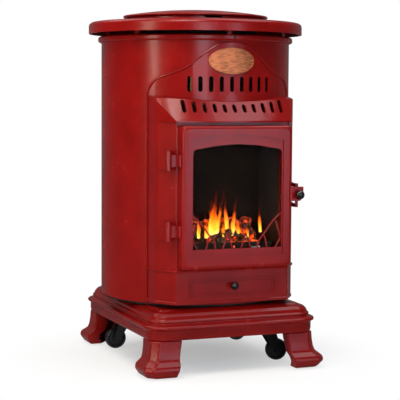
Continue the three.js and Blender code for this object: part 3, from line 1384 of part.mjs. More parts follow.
// Hose from the valve's inlet along the drum's left side down to the parked regulator
function gasHose() {
  const start = -VALVE_OUT - VALVE_RADIUS - VALVE_STUB_LENGTH - CLEARANCE;
  const points = [
    [start, -VALVE_FRONT, VALVE_STUB_HEIGHT],
    [start - HOSE_STRAIGHT, -VALVE_FRONT, VALVE_STUB_HEIGHT],
    ...hoseRoute.map(([inset, back, height]) => [inset - CABINET_RADIUS, back, height]),
    [-REGULATOR_OUT, REGULATOR_BACK, HOSE_DROP_HEIGHT],
    [-REGULATOR_OUT, REGULATOR_BACK, REGULATOR_TOP + CLEARANCE],
  ].map((place) => new THREE.Vector3(...place));
  return barAlong(points, HOSE_RADIUS, HOSE_STEPS, 8);
}

function regulator() {
  const body = REGULATOR_BOTTOM + REGULATOR_HEIGHT;
  const edge = REGULATOR_RADIUS / 6;
  return turned([
    [0, REGULATOR_BOTTOM], [REGULATOR_RADIUS - edge, REGULATOR_BOTTOM],
    [REGULATOR_RADIUS, REGULATOR_BOTTOM + edge], [REGULATOR_RADIUS, body - 2 * edge],
    [REGULATOR_RADIUS / 2, body], [REGULATOR_NIPPLE_RADIUS, body],
    [REGULATOR_NIPPLE_RADIUS, REGULATOR_TOP], [0, REGULATOR_TOP],
  ], SMALL_SIDES).translate(-REGULATOR_OUT, REGULATOR_BACK, 0);
}

// Shelf on the drum's inner wall that the regulator stands on
function regulatorShelf() {
  const reach = (CABINET_RADIUS - SHEET) * Math.cos(Math.PI / ROUND_SIDES) - SHELF_EDGE_GAP;
  const plan = rectangle(-CABINET_RADIUS, -SHELF_INNER, -SHELF_FRONT, SHELF_BACK);
  const flangePlan = rectangle(-CABINET_RADIUS, -reach + 3 * SHELF_SHEET, -SHELF_FRONT, SHELF_BACK);
  const drum = post(0, 0, reach, SHELF_TOP - SHELF_FLANGE - OVERRUN, SHELF_TOP + OVERRUN, ROUND_SIDES);
  const deck = upright(plan, SHELF_TOP - SHELF_SHEET, SHELF_TOP);
  const flange = upright(flangePlan, SHELF_TOP - SHELF_FLANGE, SHELF_TOP);
  return common(join(deck, flange), drum);
}

// Cast top plate with its skirt, crown, raised ring, finger notch, standing posts and hinge ears
function topPlate() {
  const underside = PLATE_UNDERSIDE;
  const skirt = PLATE_RADIUS - PLATE_SKIRT;
  const shoulder = Array.from({ length: ARC_STEPS + 1 }, (_, k) => {
    const angle = (k / ARC_STEPS) * QUARTER_TURN;
    return [
      PLATE_RADIUS - PLATE_SHOULDER * (1 - Math.cos(angle)),
      PLATE_TOP - PLATE_SHOULDER * (1 - Math.sin(angle)),
    ];
  });
  const casting = turned([
    [RING_INNER, underside], [skirt - RING_EDGE, underside], [skirt, underside - RING_EDGE],
    [skirt, PLATE_BOTTOM], [PLATE_RADIUS, PLATE_BOTTOM], ...shoulder,
    [PLATE_FLAT_INNER, PLATE_TOP], [RING_OUTER, PLATE_TOP + PLATE_CROWN],
    [RING_OUTER, RING_TOP - RING_EDGE], [RING_OUTER - RING_EDGE, RING_TOP],
    [RING_INNER + RING_EDGE, RING_TOP], [RING_INNER, RING_TOP - RING_EDGE],
  ]);
  const posts = Array.from({ length: FOOT_POST_COUNT }, (_, k) => {
    const angle = ((k + 1 / 2) / FOOT_POST_COUNT) * 2 * Math.PI;
    return post(
      FOOT_POST_CIRCLE * Math.cos(angle), FOOT_POST_CIRCLE * Math.sin(angle), FOOT_POST_RADIUS,
      CABINET_TOP + CLEARANCE, underside + CLEARANCE, 8,
    );
  });
  const notch = facing(
    rectangle(-NOTCH_WIDTH / 2, NOTCH_WIDTH / 2, NOTCH_BOTTOM, RING_TOP + OVERRUN),
    -RING_OUTER - OVERRUN, -RING_INNER + OVERRUN,
  ).rotateZ(radians(NOTCH_ANGLE));
  return cut(join(casting, ...posts, ...lidEars()), notch, lidBore());
}

function lidEars() {
  const shape = outline([
    [LID_PIN_BACK - LID_EAR_RADIUS, PLATE_TOP - PLATE_WALL / 2],
    [LID_PIN_BACK + LID_EAR_RADIUS, PLATE_TOP - PLATE_WALL / 2],
    ...Array.from({ length: 2 * ARC_STEPS + 1 }, (_, k) => {
      const angle = (k / (2 * ARC_STEPS)) * Math.PI;
      return [
        LID_PIN_BACK + LID_EAR_RADIUS * Math.cos(angle), LID_PIN_HEIGHT + LID_EAR_RADIUS * Math.sin(angle),
      ];
    }),
  ]);
  return [
    sideways(shape, -LID_EAR_OUTER, -LID_EAR_INNER), sideways(shape, LID_EAR_INNER, LID_EAR_OUTER),
  ];
}

function lidBore() {
  const reach = LID_EAR_OUTER + OVERRUN;
  return rodAlongX(LID_PIN_BACK, LID_PIN_HEIGHT, LID_PIN_RADIUS + CLEARANCE, -reach, reach);
}

function lidHingePin() {
  const half = LID_EAR_OUTER + LID_PIN_RADIUS / 2;
  return rodAlongX(LID_PIN_BACK, LID_PIN_HEIGHT, LID_PIN_RADIUS, -half, half);
}

// Domed lid with a thin edge, a hollow underside and a hinge knuckle
function lid() {
  const edgeTop = LID_BOTTOM + LID_EDGE_HEIGHT;
  const rim = LID_RADIUS - LID_RIM_WIDTH;
  const domePoint = (radius, drop) => [radius, edgeTop + LID_CROWN * (1 - (radius / LID_RADIUS) ** 2) - drop];
  const shares = Array.from({ length: LID_STEPS + 1 }, (_, k) => k / LID_STEPS);
  const plate = turned([
    ...shares.map((share) => domePoint(rim * share, LID_WALL)),
    [rim, LID_BOTTOM], [LID_RADIUS - LID_EDGE, LID_BOTTOM], [LID_RADIUS, LID_BOTTOM + LID_EDGE],
    [LID_RADIUS, edgeTop - LID_EDGE],
    ...shares.map((share) => domePoint((LID_RADIUS - LID_EDGE) * (1 - share), 0)),
  ]);
  const knuckle = rodAlongX(
    LID_PIN_BACK, LID_PIN_HEIGHT, LID_KNUCKLE_RADIUS, -LID_KNUCKLE_HALF, LID_KNUCKLE_HALF,
  );
  const tailPlan = rectangle(
    LID_RADIUS - LID_TAIL_OVERLAP, LID_PIN_BACK, LID_BOTTOM, LID_PIN_HEIGHT + LID_KNUCKLE_RADIUS / 2,
  );
  const tail = sideways(tailPlan, -LID_KNUCKLE_HALF, LID_KNUCKLE_HALF);
  return cut(join(plate, knuckle, tail), lidBore());
}

// Pressed tray of the controls, hung under the top plate
function controlPanel() {
  const outer = WELL_RADIUS + SHEET;
  const flangeTop = PLATE_UNDERSIDE - CLEARANCE;
  const flange = WELL_RADIUS + WELL_FLANGE;
  const tray = turned([
    [0, WELL_FLOOR], [outer, WELL_FLOOR], [outer, flangeTop - SHEET], [flange, flangeTop - SHEET],
    [flange, flangeTop], [WELL_RADIUS, flangeTop], [WELL_RADIUS, WELL_FLOOR + SHEET], [0, WELL_FLOOR + SHEET],
  ]);
  const top = WELL_FLOOR + SHEET + OVERRUN;
  return cut(
    tray,
    post(-VALVE_OUT, -VALVE_FRONT, CONTROL_SHAFT_RADIUS + CLEARANCE, WELL_FLOOR - OVERRUN, top),
    post(IGNITER_OUT, -VALVE_FRONT, PLUNGER_RADIUS + 2 * CLEARANCE, WELL_FLOOR - OVERRUN, top),
  );
}

function controlKnob() {
  const base = WELL_FLOOR + SHEET + CLEARANCE;
  const top = base + CONTROL_HEIGHT;
  const chamfer = CONTROL_SKIRT / 2;
  const knob = turned([
    [0, WELL_FLOOR], [CONTROL_SHAFT_RADIUS, WELL_FLOOR], [CONTROL_SHAFT_RADIUS, base],
    [CONTROL_RADIUS, base], [CONTROL_RADIUS, base + CONTROL_SKIRT],
    [CONTROL_WAIST, base + CONTROL_SKIRT + chamfer], [CONTROL_WAIST, top - chamfer],
    [CONTROL_WAIST - chamfer, top], [0, top],
  ], 24);
  const gripLength = 2 * (CONTROL_WAIST - chamfer);
  const grip = new THREE.BoxGeometry(CONTROL_GRIP_WIDTH, gripLength, 2 * CONTROL_GRIP_HEIGHT)
    .translate(0, 0, top);
  return join(knob, grip).translate(-VALVE_OUT, -VALVE_FRONT, 0);
}

function igniterBody() {
  const top = WELL_FLOOR - CLEARANCE;
  const bore = PLUNGER_RADIUS + CLEARANCE;
  return turned([
    [0, top - IGNITER_LENGTH], [IGNITER_RADIUS, top - IGNITER_LENGTH], [IGNITER_RADIUS, top],
    [bore, top], [bore, top - IGNITER_SOCKET_DEPTH], [0, top - IGNITER_SOCKET_DEPTH],
  ], SMALL_SIDES).translate(IGNITER_OUT, -VALVE_FRONT, 0);
}

function igniterButton() {
  const tip = WELL_FLOOR - PLUNGER_DEPTH;
  const edge = BUTTON_HEIGHT / 4;
  return turned([
    [0, tip], [PLUNGER_RADIUS, tip], [PLUNGER_RADIUS, BUTTON_REST], [BUTTON_RADIUS, BUTTON_REST],
    [BUTTON_RADIUS, BUTTON_REST + BUTTON_HEIGHT - edge],
    [BUTTON_RADIUS - edge, BUTTON_REST + BUTTON_HEIGHT], [0, BUTTON_REST + BUTTON_HEIGHT],
  ], SMALL_SIDES).translate(IGNITER_OUT, -VALVE_FRONT, 0);
}

// Curved cover of the bottle opening with two rows of air slots
function rearCover() {
  const inner = CABINET_RADIUS + CLEARANCE;
  const outer = inner + COVER_SHEET;
  const sheet = turned([
    [inner, COVER_BOTTOM], [outer, COVER_BOTTOM], [outer, COVER_TOP], [inner, COVER_TOP],
  ]);
  const reach = outer + OVERRUN;
  const blank = common(sheet, facing(rectangle(-COVER_HALF, COVER_HALF, COVER_BOTTOM, COVER_TOP), 0, reach));
  const rows = [COVER_BOTTOM + COVER_SLOT_MARGIN, COVER_TOP - COVER_SLOT_MARGIN - COVER_SLOT_HEIGHT];
  const slots = rows.flatMap((bottom) => fanned(
    slotCutter(0, COVER_SLOT_WIDTH, bottom, bottom + COVER_SLOT_HEIGHT, inner - OVERRUN, reach, 2),
    COVER_SLOT_COUNT, COVER_SLOT_PITCH_ANGLE,
  ));
  return cut(blank, ...slots);
}

// Plan of the plinth, moved outwards by an offset
function plinthPlan(outset) {
  const half = PLINTH_HALF_WIDTH + outset;
  const radius = PLINTH_CORNER + outset;
  return roundedOutline([
    [-half, -PLINTH_FRONT - outset, radius], [half, -PLINTH_FRONT - outset, radius],
    [half, PLINTH_BACK + outset, radius], [-half, PLINTH_BACK + outset, radius],
  ], ARC_STEPS + 1);
}

// Moulded plinth, hollow from below and open in its deck over the bottle floor
function plinth() {
  const outer = loft(plinthProfile.map(({ outset, height }) => ({ points: plinthPlan(outset), height })));
  const [foot] = plinthProfile;
  const [skirt, groove, ovolo] = plinthProfile.filter(({ inside }) => inside);
  const inner = loft([
    { points: plinthPlan(foot.outset - PLINTH_WALL), height: PLINTH_BOTTOM - OVERRUN },
    { points: plinthPlan(foot.outset - PLINTH_WALL), height: skirt.height },
    { points: plinthPlan(groove.outset - PLINTH_WALL), height: groove.height },
    { points: plinthPlan(ovolo.outset - PLINTH_WALL), height: PLINTH_TOP - PLINTH_WALL },
  ]);
  const deckTop = PLINTH_TOP + OVERRUN;
  const well = post(0, DECK_HOLE_BACK, DECK_HOLE_RADIUS, PLINTH_BOTTOM, deckTop, 2 * SMALL_SIDES);
  return cut(outer, inner, well);
}

function floorPlate() {
  const [foot] = plinthProfile;
  const plan = plinthPlan(foot.outset - PLINTH_WALL - CLEARANCE);
  return upright(outline(plan), PLINTH_BOTTOM, PLINTH_BOTTOM + FLOOR_SHEET);
}

// Cast bracket foot of L plan at a corner, hollow on its inner side
function leg(side, end) {
  const faceAt = end < 0 ? PLINTH_FRONT : PLINTH_BACK;
  const plan = (outset, inner, wall) => {
    const outerX = PLINTH_HALF_WIDTH - LEG_OUTER_INSET + outset - wall;
    const outerY = faceAt - LEG_OUTER_INSET + outset - wall;
    const faceEnd = PLINTH_HALF_WIDTH - LEG_OUTER_INSET - LEG_FACE_WIDTH + inner + wall;
    const sideEnd = faceAt - LEG_OUTER_INSET - LEG_SIDE_WIDTH + inner * LEG_SIDE_DRAFT_SHARE + wall;
    return [
      [faceEnd, outerY - LEG_ARM], [outerX - LEG_ARM, outerY - LEG_ARM], [outerX - LEG_ARM, sideEnd],
      [outerX, sideEnd], [outerX, outerY - LEG_CORNER], [outerX - LEG_CORNER, outerY], [faceEnd, outerY],
    ].map(([x, y]) => new THREE.Vector2(x, y));
  };
  const levels = legProfile.map(({ outset, inner, height }) => ({ points: plan(outset, inner, 0), height }));
  const hollow = legProfile.slice(0, -1).map(({ outset, inner, height }) => ({
    points: plan(outset, inner, LEG_WALL), height,
  }));
  hollow[0].height -= OVERRUN;
  hollow.push({ points: plan(0, 0, LEG_WALL), height: LEG_HEIGHT - LEG_TOP_FLANGE });
  return cut(loft(levels), loft(hollow)).scale(side, end, 1);
}

// Castor parts about their own swivel axis, with the wheel trailing towards +X
function castorPlate() {
  const length = CASTOR_PLATE_LENGTH / 2;
  const width = CASTOR_PLATE_WIDTH / 2;
  const plate = upright(rectangle(-length, length, -width, width), CASTOR_PLATE_BOTTOM, CASTOR_PLATE_TOP);
  const headTop = RACE_BOTTOM - CLEARANCE;
  const pin = turned([
    [0, headTop - KINGPIN_HEAD_HEIGHT], [KINGPIN_HEAD_RADIUS, headTop - KINGPIN_HEAD_HEIGHT],
    [KINGPIN_HEAD_RADIUS, headTop], [KINGPIN_RADIUS, headTop],
    [KINGPIN_RADIUS, CASTOR_PLATE_BOTTOM + CLEARANCE], [0, CASTOR_PLATE_BOTTOM + CLEARANCE],
  ], SMALL_SIDES);
  return join(plate, pin);
}

function castorFork() {
  const bore = KINGPIN_RADIUS + CLEARANCE;
  const cup = turned([
    [bore, RACE_BOTTOM], [RACE_RADIUS - FORK_SHEET, RACE_BOTTOM], [RACE_RADIUS, RACE_BOTTOM + FORK_SHEET],
    [RACE_RADIUS, RACE_TOP], [bore, RACE_TOP],
  ], SMALL_SIDES);
  const outer = FORK_HALF_GAP + FORK_SHEET;
  const tip = Array.from({ length: ARC_STEPS + 1 }, (_, k) => {
    const angle = -QUARTER_TURN - Math.PI / 4 + (k / ARC_STEPS) * Math.PI;
    return [
      CASTOR_TRAIL + FORK_TIP_RADIUS * Math.cos(angle), WHEEL_CENTRE + FORK_TIP_RADIUS * Math.sin(angle),
    ];
  });
  const crownTop = RACE_BOTTOM + FORK_SHEET;
  const cheek = outline([[-FORK_HALF_LENGTH, crownTop], [-FORK_HALF_LENGTH, RACE_BOTTOM - FORK_SHEET], ...tip,
    [FORK_HALF_LENGTH, RACE_BOTTOM - FORK_SHEET], [FORK_HALF_LENGTH, crownTop]]);
  const crown = new THREE.BoxGeometry(2 * FORK_HALF_LENGTH, 2 * outer, FORK_SHEET)
    .translate(0, 0, RACE_BOTTOM + FORK_SHEET / 2);
  const axle = rodAlongY(CASTOR_TRAIL, WHEEL_CENTRE, AXLE_RADIUS, -outer - AXLE_END, outer + AXLE_END, 8);
  const cheeks = [facing(cheek, FORK_HALF_GAP, outer), facing(cheek, -outer, -FORK_HALF_GAP)];
  const room = post(0, 0, bore, RACE_BOTTOM - OVERRUN, RACE_TOP + OVERRUN);
  return cut(join(cup, crown, ...cheeks, axle), room);
}

function castorWheel() {
  const half = WHEEL_WIDTH / 2;
  const bore = AXLE_RADIUS + CLEARANCE;
  const web = half - WHEEL_RECESS_DEPTH;
  const wheel = turned([
    [bore, -half], [WHEEL_HUB_RADIUS, -half], [WHEEL_RECESS_RADIUS, -web],
    [WHEEL_RADIUS - WHEEL_TREAD_ROUND, -half], [WHEEL_RADIUS, -half + WHEEL_TREAD_ROUND],
    [WHEEL_RADIUS, half - WHEEL_TREAD_ROUND], [WHEEL_RADIUS - WHEEL_TREAD_ROUND, half],
    [WHEEL_RECESS_RADIUS, web], [WHEEL_HUB_RADIUS, half], [bore, half],
  ], 14);
  return wheel.rotateX(QUARTER_TURN).translate(CASTOR_TRAIL, 0, WHEEL_CENTRE);
}

// Assembly
const heater = new THREE.Group();
heater.position.set(0, CENTRE_SHIFT, FOOT_CLEARANCE);

function add(parent, name, geometry, look) {
  const body = toGeometry(toSolid(geometry));
  body.computeVertexNormals();
  const mesh = new THREE.Mesh(body, new THREE.MeshStandardMaterial(look));
  mesh.name = name;
  parent.add(mesh);
  return mesh;
}

add(heater, 'plinth', plinth(), plinthEnamel);
add(heater, 'floor_plate', floorPlate(), darkSteel);
add(heater, 'leg_front_left', leg(-1, -1), plinthEnamel);
add(heater, 'leg_front_right', leg(1, -1), plinthEnamel);
add(heater, 'leg_rear_left', leg(-1, 1), plinthEnamel);
add(heater, 'leg_rear_right', leg(1, 1), plinthEnamel);
add(heater, 'cabinet_base_ring', cabinetBaseRing(), darkSteel);
add(heater, 'cabinet_shell', cabinetShell(), redEnamel);
add(heater, 'top_collar', topCollar(), redEnamel);
add(heater, 'crest_panel', crestPanel(), redEnamel);
add(heater, 'oval_plate', ovalPlate(), copper);
add(heater, 'front_body', frontBody(), redEnamel);
add(heater, 'ash_panel_knob', panelKnob(), blackGloss);
add(heater, 'hood', hood(), redEnamel);
['lower', 'upper'].forEach((level, k) => {
  add(heater, `hinge_bracket_${level}`, hingeBracket(HINGE_BOTTOMS[k]), redEnamel);
  add(heater, `hinge_pin_${level}`, hingePin(HINGE_BOTTOMS[k]), redEnamel);
  add(heater, `door_strap_${level}`, doorStrap(HINGE_BOTTOMS[k]), redEnamel);
});
add(heater, 'keeper_plate', keeperPlate(), redEnamel);
add(heater, 'firebox', firebox(), darkSteel);
add(heater, 'firebox_back_panel', fireboxBackPanel(), fibreBoard);
add(heater, 'burner_tray', burnerTray(), darkSteel);
add(heater, 'coal_bed', coalBed(), emberCeramic);
add(heater, 'pilot_assembly', pilotAssembly(), zinc);
add(heater, 'heat_shield', heatShield(), zinc);
add(heater, 'gas_valve', gasValve(), brass);
add(heater, 'burner_pipe', burnerPipe(), brass);
add(heater, 'gas_hose', gasHose(), orangeHose);
add(heater, 'regulator', regulator(), zinc);
add(heater, 'regulator_shelf', regulatorShelf(), zinc);
add(heater, 'top_plate', topPlate(), redEnamel);
add(heater, 'lid_hinge_pin', lidHingePin(), zinc);
add(heater, 'lid', lid(), redEnamel);
add(heater, 'control_panel', controlPanel(), darkSteel);
add(heater, 'control_knob', controlKnob(), blackGloss);
add(heater, 'igniter_body', igniterBody(), blackGloss);
add(heater, 'igniter_button', igniterButton(), blackGloss);
add(heater, 'rear_cover', rearCover(), redEnamel);
add(heater, 'door_frame', doorFrame(), redEnamel);
add(heater, 'window_fret', windowFret(), redEnamel);
const sealRing = windowRing(SEAL_OFFSET, SEAL_OFFSET + SEAL_WIDTH, GLAZING_FRONT, SEAL_THICKNESS);
add(heater, 'glass_seal', sealRing, ropeSeal);
add(heater, 'door_glass', doorGlass(), clearGlass);
add(
  heater, 'glass_retainer',
  windowRing(RETAINER_OFFSET, RETAINER_OFFSET + RETAINER_WIDTH, RETAINER_FRONT, RETAINER_SHEET), darkSteel,
);
add(heater, 'latch_knob', latchKnob(), blackGloss);
add(heater, 'latch_spindle', latchSpindle(), zinc);

// One castor at each corner, with its wheel trailing outwards
const castorPlaces = [
  ['front_left', -CASTOR_FRONT_OUT, -CASTOR_FRONT], ['front_right', CASTOR_FRONT_OUT, -CASTOR_FRONT],
  ['rear_left', -CASTOR_REAR_OUT, CASTOR_BACK], ['rear_right', CASTOR_REAR_OUT, CASTOR_BACK],
];
castorPlaces.forEach(([corner, x, y]) => {
  const castor = new THREE.Group();
  castor.position.set(x, y, 0);
  castor.rotation.z = x < 0 ? Math.PI : 0;
  heater.add(castor);
  add(castor, `castor_plate_${corner}`, castorPlate(), zinc);
  add(castor, `castor_fork_${corner}`, castorFork(), zinc);
  add(castor, `castor_wheel_${corner}`, castorWheel(), blackRubber);
});

export default heater;
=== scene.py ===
"""Finishes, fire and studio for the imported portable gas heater."""

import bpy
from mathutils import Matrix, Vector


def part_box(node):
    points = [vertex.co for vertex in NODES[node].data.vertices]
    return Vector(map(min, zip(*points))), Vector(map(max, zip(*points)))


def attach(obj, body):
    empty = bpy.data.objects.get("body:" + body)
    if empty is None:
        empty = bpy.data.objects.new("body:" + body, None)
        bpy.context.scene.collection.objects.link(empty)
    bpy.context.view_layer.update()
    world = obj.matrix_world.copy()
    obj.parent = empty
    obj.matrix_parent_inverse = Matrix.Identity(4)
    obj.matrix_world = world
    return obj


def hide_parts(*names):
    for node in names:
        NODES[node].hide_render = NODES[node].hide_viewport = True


bl_info = {
    "name": "Portable gas heater",
    "version": (1, 0, 0),
    "blender": (4, 5, 0),
    "location": "3D View > Sidebar > Heater",
    "description": "Dresses the packed gas heater in enamel, glazing, coals, flames and fittings",
    "category": "Object",
}

import math
import random

import bmesh
import bpy
from bpy.props import FloatProperty, FloatVectorProperty, IntProperty, PointerProperty
from mathutils import Matrix, Vector, noise
from mathutils.bvhtree import BVHTree

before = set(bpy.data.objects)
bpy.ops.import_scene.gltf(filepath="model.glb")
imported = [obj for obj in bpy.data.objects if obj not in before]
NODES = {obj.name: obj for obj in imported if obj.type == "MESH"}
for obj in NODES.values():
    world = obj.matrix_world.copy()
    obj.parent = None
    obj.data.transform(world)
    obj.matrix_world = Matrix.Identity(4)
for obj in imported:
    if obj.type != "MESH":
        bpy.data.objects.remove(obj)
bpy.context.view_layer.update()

MM = 0.001
WELD = 0.00001
FLAT_ANGLE = math.radians(0.7)
SHARP_ANGLE = math.radians(42)

# The drum's upright axis and the soles of the feet, from which places are measured
AXIS = sum(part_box("cabinet_shell"), Vector()) / 2
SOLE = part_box("leg_front_left")[0].z

# Photograph's camera, in millimetres from the drum's axis and the soles
CAMERA_PLACE = (-1121.1, -2850.2, 606.5)
CAMERA_YAW = math.radians(21.72)
CAMERA_PITCH = math.radians(4.62)
CAMERA_ROLL = math.radians(0.36)
CAMERA_LENS = 117.63
CAMERA_SENSOR = 36
CAMERA_CLIP = (0.05, 60)

# Half the floor's width in metres, and the height in millimetres that the lamps point at
FLOOR_REACH = 9
LIT_HEIGHT = 420

# Heights above the soles between which the coals' glow fades
GLOW_FOOT = 270 * MM
GLOW_TOP = 330 * MM

CORNERS = ("front_left", "front_right", "rear_left", "rear_right")

# Edge radii in millimetres of the small pieces, which don't take theirs from the finish settings
EDGES = {
    "window_fret": 1.2, "door_glass": 0.4, "glass_seal": 1.2, "latch_spindle": 0.5,
    "keeper_plate": 0.8, "firebox": 0.5, "firebox_back_panel": 1.0, "burner_tray": 0.5,
    "pilot_assembly": 0.4, "gas_valve": 0.6, "regulator": 1.0, "regulator_shelf": 0.4,
    "lid_hinge_pin": 0.5, "control_panel": 0.6, "control_knob": 1.2, "igniter_body": 0.6,
    "igniter_button": 0.9,
    **{f"castor_{part}_{corner}": 0.5 for part in ("plate", "fork") for corner in CORNERS},
}

# Fasteners: where the search for a seat starts, how deep a head sinks, and a plain rivet's slot
SEAT_SEARCH = 30 * MM
SEAT_SINK = 0.3 * MM
NO_SLOT = 0.01


def place(x, y, z):
    """A point in the frame from millimetres off the drum's axis and above the soles."""
    return Vector((AXIS.x + x * MM, AXIS.y + y * MM, SOLE + z * MM))


def linear(code):
    """The linear colour of an sRGB hex value."""
    shares = [int(code[k:k + 2], 16) / 255 for k in (1, 3, 5)]
    return [*(s / 12.92 if s <= 0.04045 else ((s + 0.055) / 1.055) ** 2.4 for s in shares), 1.0]


def add_node(tree, kind, inputs=None, **settings):
    """Adds one node, sets its settings and fills or links its inputs."""
    node = tree.nodes.new(kind)
    for name, value in settings.items():
        setattr(node, name, value)
    for key, value in (inputs or {}).items():
        socket = node.inputs[key]
        if isinstance(value, bpy.types.NodeSocket):
            tree.links.new(value, socket)
        else:
            socket.default_value = value
    return node


def result(tree, kind, inputs=None, **settings):
    """Adds one node and gives the first of its outputs that is in use."""
    outputs = add_node(tree, kind, inputs, **settings).outputs
    return next(socket for socket in outputs if socket.enabled)


def new_material(name):
    """An empty node material, its tree and the object coordinates in it."""
    material = bpy.data.materials.new(name)
    material.use_nodes = True
    tree = material.node_tree
    tree.nodes.clear()
    return material, tree, add_node(tree, "ShaderNodeTexCoord").outputs["Object"]


def ended(material, shader):
    """Links a shader to the material's output."""
    add_node(material.node_tree, "ShaderNodeOutputMaterial", {"Surface": shader})
    return material


def surfaced(material, colour, roughness, normal=None, extra=None):
    """Ends a material in one Principled surface."""
    inputs = {"Base Color": colour, "Roughness": roughness, **(extra or {})}
    if normal is not None:
        inputs["Normal"] = normal
    return ended(material, result(material.node_tree, "ShaderNodeBsdfPrincipled", inputs))


def speckle(tree, where, scale, detail=2.0, roughness=0.5):
    """The value of a noise texture."""
    return result(tree, "ShaderNodeTexNoise", {
        "Vector": where, "Scale": scale, "Detail": detail, "Roughness": roughness})


def cells(tree, where, scale):
    """The distance of a cell texture."""
    return result(tree, "ShaderNodeTexVoronoi", {"Vector": where, "Scale": scale})


def spread(tree, value, low, high, start=0.0, end=1.0, kind="LINEAR"):
    """A value taken from between start and end to between low and high."""
    return result(tree, "ShaderNodeMapRange", {
        "Value": value, "From Min": start, "From Max": end, "To Min": low, "To Max": high},
        interpolation_type=kind)


def maths(tree, operation, *values):
    """The result of a math node."""
    return result(tree, "ShaderNodeMath", dict(enumerate(values)), operation=operation)


def bumped(tree, height, strength, distance):
    """The normal of a bump."""
    return result(tree, "ShaderNodeBump", {
        "Height": height, "Strength": strength, "Distance": distance})


def ramp(tree, factor, *stops):
    """The colour of a ramp through (position, colour) stops, each colour a hex value or a list."""
    node = add_node(tree, "ShaderNodeValToRGB", {"Fac": factor})
    while len(node.color_ramp.elements) < len(stops):
        node.color_ramp.elements.new(0.5)
    for element, (position, colour) in zip(node.color_ramp.elements, stops):
        element.position = position
        element.color = linear(colour) if isinstance(colour, str) else colour
    return node.outputs["Color"]


def toned(colour, share):
    """A colour made darker or lighter."""
    return [min(1.0, c * share) for c in colour[:3]] + [1.0]


# Settings

def colour_setting(name, description, code):
    """A colour, with an sRGB hex value as its default."""
    return FloatVectorProperty(
        name=name, description=description, subtype="COLOR", size=4, min=0, max=1,
        default=linear(code))


def length_setting(name, description, default, least, most):
    """A length in metres."""
    return FloatProperty(
        name=name, description=description, subtype="DISTANCE", unit="LENGTH", min=least, max=most,
        default=default)


def power_setting(name, description, default):
    """A lamp's power in watts."""
    return FloatProperty(
        name=name, description=description, unit="POWER", min=0, max=500, default=default)


def strength_setting(name, description, default, most):
    """The strength of something that glows."""
    return FloatProperty(name=name, description=description, min=0, max=most, default=default)


class HeaterFinish(bpy.types.PropertyGroup):
    """Colours and edges of the castings."""

    enamel: colour_setting("Enamel", "Colour of the drum, the front and the top", "#7E0A08")
    plinth_enamel: colour_setting("Plinth enamel", "Colour of the plinth and the feet", "#760A08")
    copper: colour_setting("Copper", "Colour of the oval plate", "#D07C50")
    cast_edge: length_setting("Cast edge", "Edge radius of the heavy castings", 0.0022, 0, 0.006)
    sheet_edge: length_setting("Sheet edge", "Edge radius of the pressed sheets", 0.0006, 0, 0.003)


class HeaterFire(bpy.types.PropertyGroup):
    """Sizes and brightness of the fire."""

    coal_size: length_setting("Coal size", "Mean radius of a ceramic coal", 0.0165, 0.004, 0.03)
    coal_seed: IntProperty(
        name="Coal seed", description="Seed of the coals' turns and sizes", min=0, default=7)
    ember_strength: strength_setting("Ember strength", "Brightness of the coals' glow", 2.6, 40)
    flame_strength: strength_setting("Flame strength", "Brightness of the flames", 2.2, 40)


class HeaterStudio(bpy.types.PropertyGroup):
    """Floor, background and lamps."""

    floor: colour_setting("Floor", "Colour of the studio floor", "#F4F4F4")
    fill: strength_setting("Fill", "Strength of the even light from all round", 0.09, 4)
    side_power: power_setting("Side lamp", "Power of the narrow strip at the left", 15.0)
    front_power: power_setting("Front lamps", "Base power of the two tall lamps in front", 27)
    top_power: power_setting("High lamps", "Base power of the three lamps above", 24)


# Materials, each named for what the real one is and for any painted shade it stands for

def stove_enamel(name, colour, grain_mm=1.6, relief=0.10):
    """Heat-resistant silicone enamel, sprayed and baked: satin, with a soft sheen and orange peel.
    The real peel is about 0.6 mm, drawn coarser so that it shows."""
    material, tree, where = new_material(name)
    peel = speckle(tree, where, 1 / (grain_mm * MM), 3.0)
    cloud = speckle(tree, where, 14.0, 4.0, 0.6)
    shade = ramp(tree, cloud, (0.35, toned(colour, 0.86)), (0.65, toned(colour, 1.08)))
    return surfaced(
        material, shade, spread(tree, cloud, 0.22, 0.28, 0.3, 0.7),
        bumped(tree, peel, relief, 0.0004), {"Specular IOR Level": 0.25})


def copper_plate(colour):
    """Copper-plated pressing, wire-brushed flat and lacquered, with darker tarnish in patches."""
    material, tree, where = new_material("lacquered_copper")
    stretched = result(tree, "ShaderNodeMapping", {
        "Vector": where, "Rotation": (0, 0.5, 0), "Scale": (70, 70, 420)})
    strokes = speckle(tree, stretched, 1.0)
    worn = maths(tree, "MULTIPLY_ADD", speckle(tree, where, 70.0, 5.0, 0.65), 0.35, strokes)
    shade = ramp(tree, worn, (0.5, toned(colour, 0.5)), (0.72, list(colour)))
    return surfaced(
        material, shade, spread(tree, strokes, 0.3, 0.6), bumped(tree, strokes, 0.6, 0.0003),
        {"Metallic": 0.85})


def zinc_plate():
    """Mild steel with bright zinc plating: pale grey with faint spangle and scuffs."""
    material, tree, where = new_material("zinc_plated_steel")
    shade = ramp(tree, cells(tree, where, 160.0), (0.0, "#A7ABAF"), (0.8, "#C9CCCE"))
    scuffs = speckle(tree, where, 420.0, 4.0)
    return surfaced(material, shade, spread(tree, scuffs, 0.22, 0.42), extra={"Metallic": 1.0})


def heat_black_and_shade():
    """Matt black heat-proof paint on sheet steel: flat, dusty, with a fine powder grain. On the
    heat shield and the base ring its black is painted shade.
    """
    material, tree, where = new_material("heat_proof_black_and_painted_shade")
    shade = ramp(tree, speckle(tree, where, 30.0, 5.0, 0.7), (0.35, "#0E0D0D"), (0.7, "#211D1B"))
    grain = bumped(tree, speckle(tree, where, 900.0, 1.0), 0.2, 0.0002)
    return surfaced(material, shade, 0.72, grain, {"Specular IOR Level": 0.3})


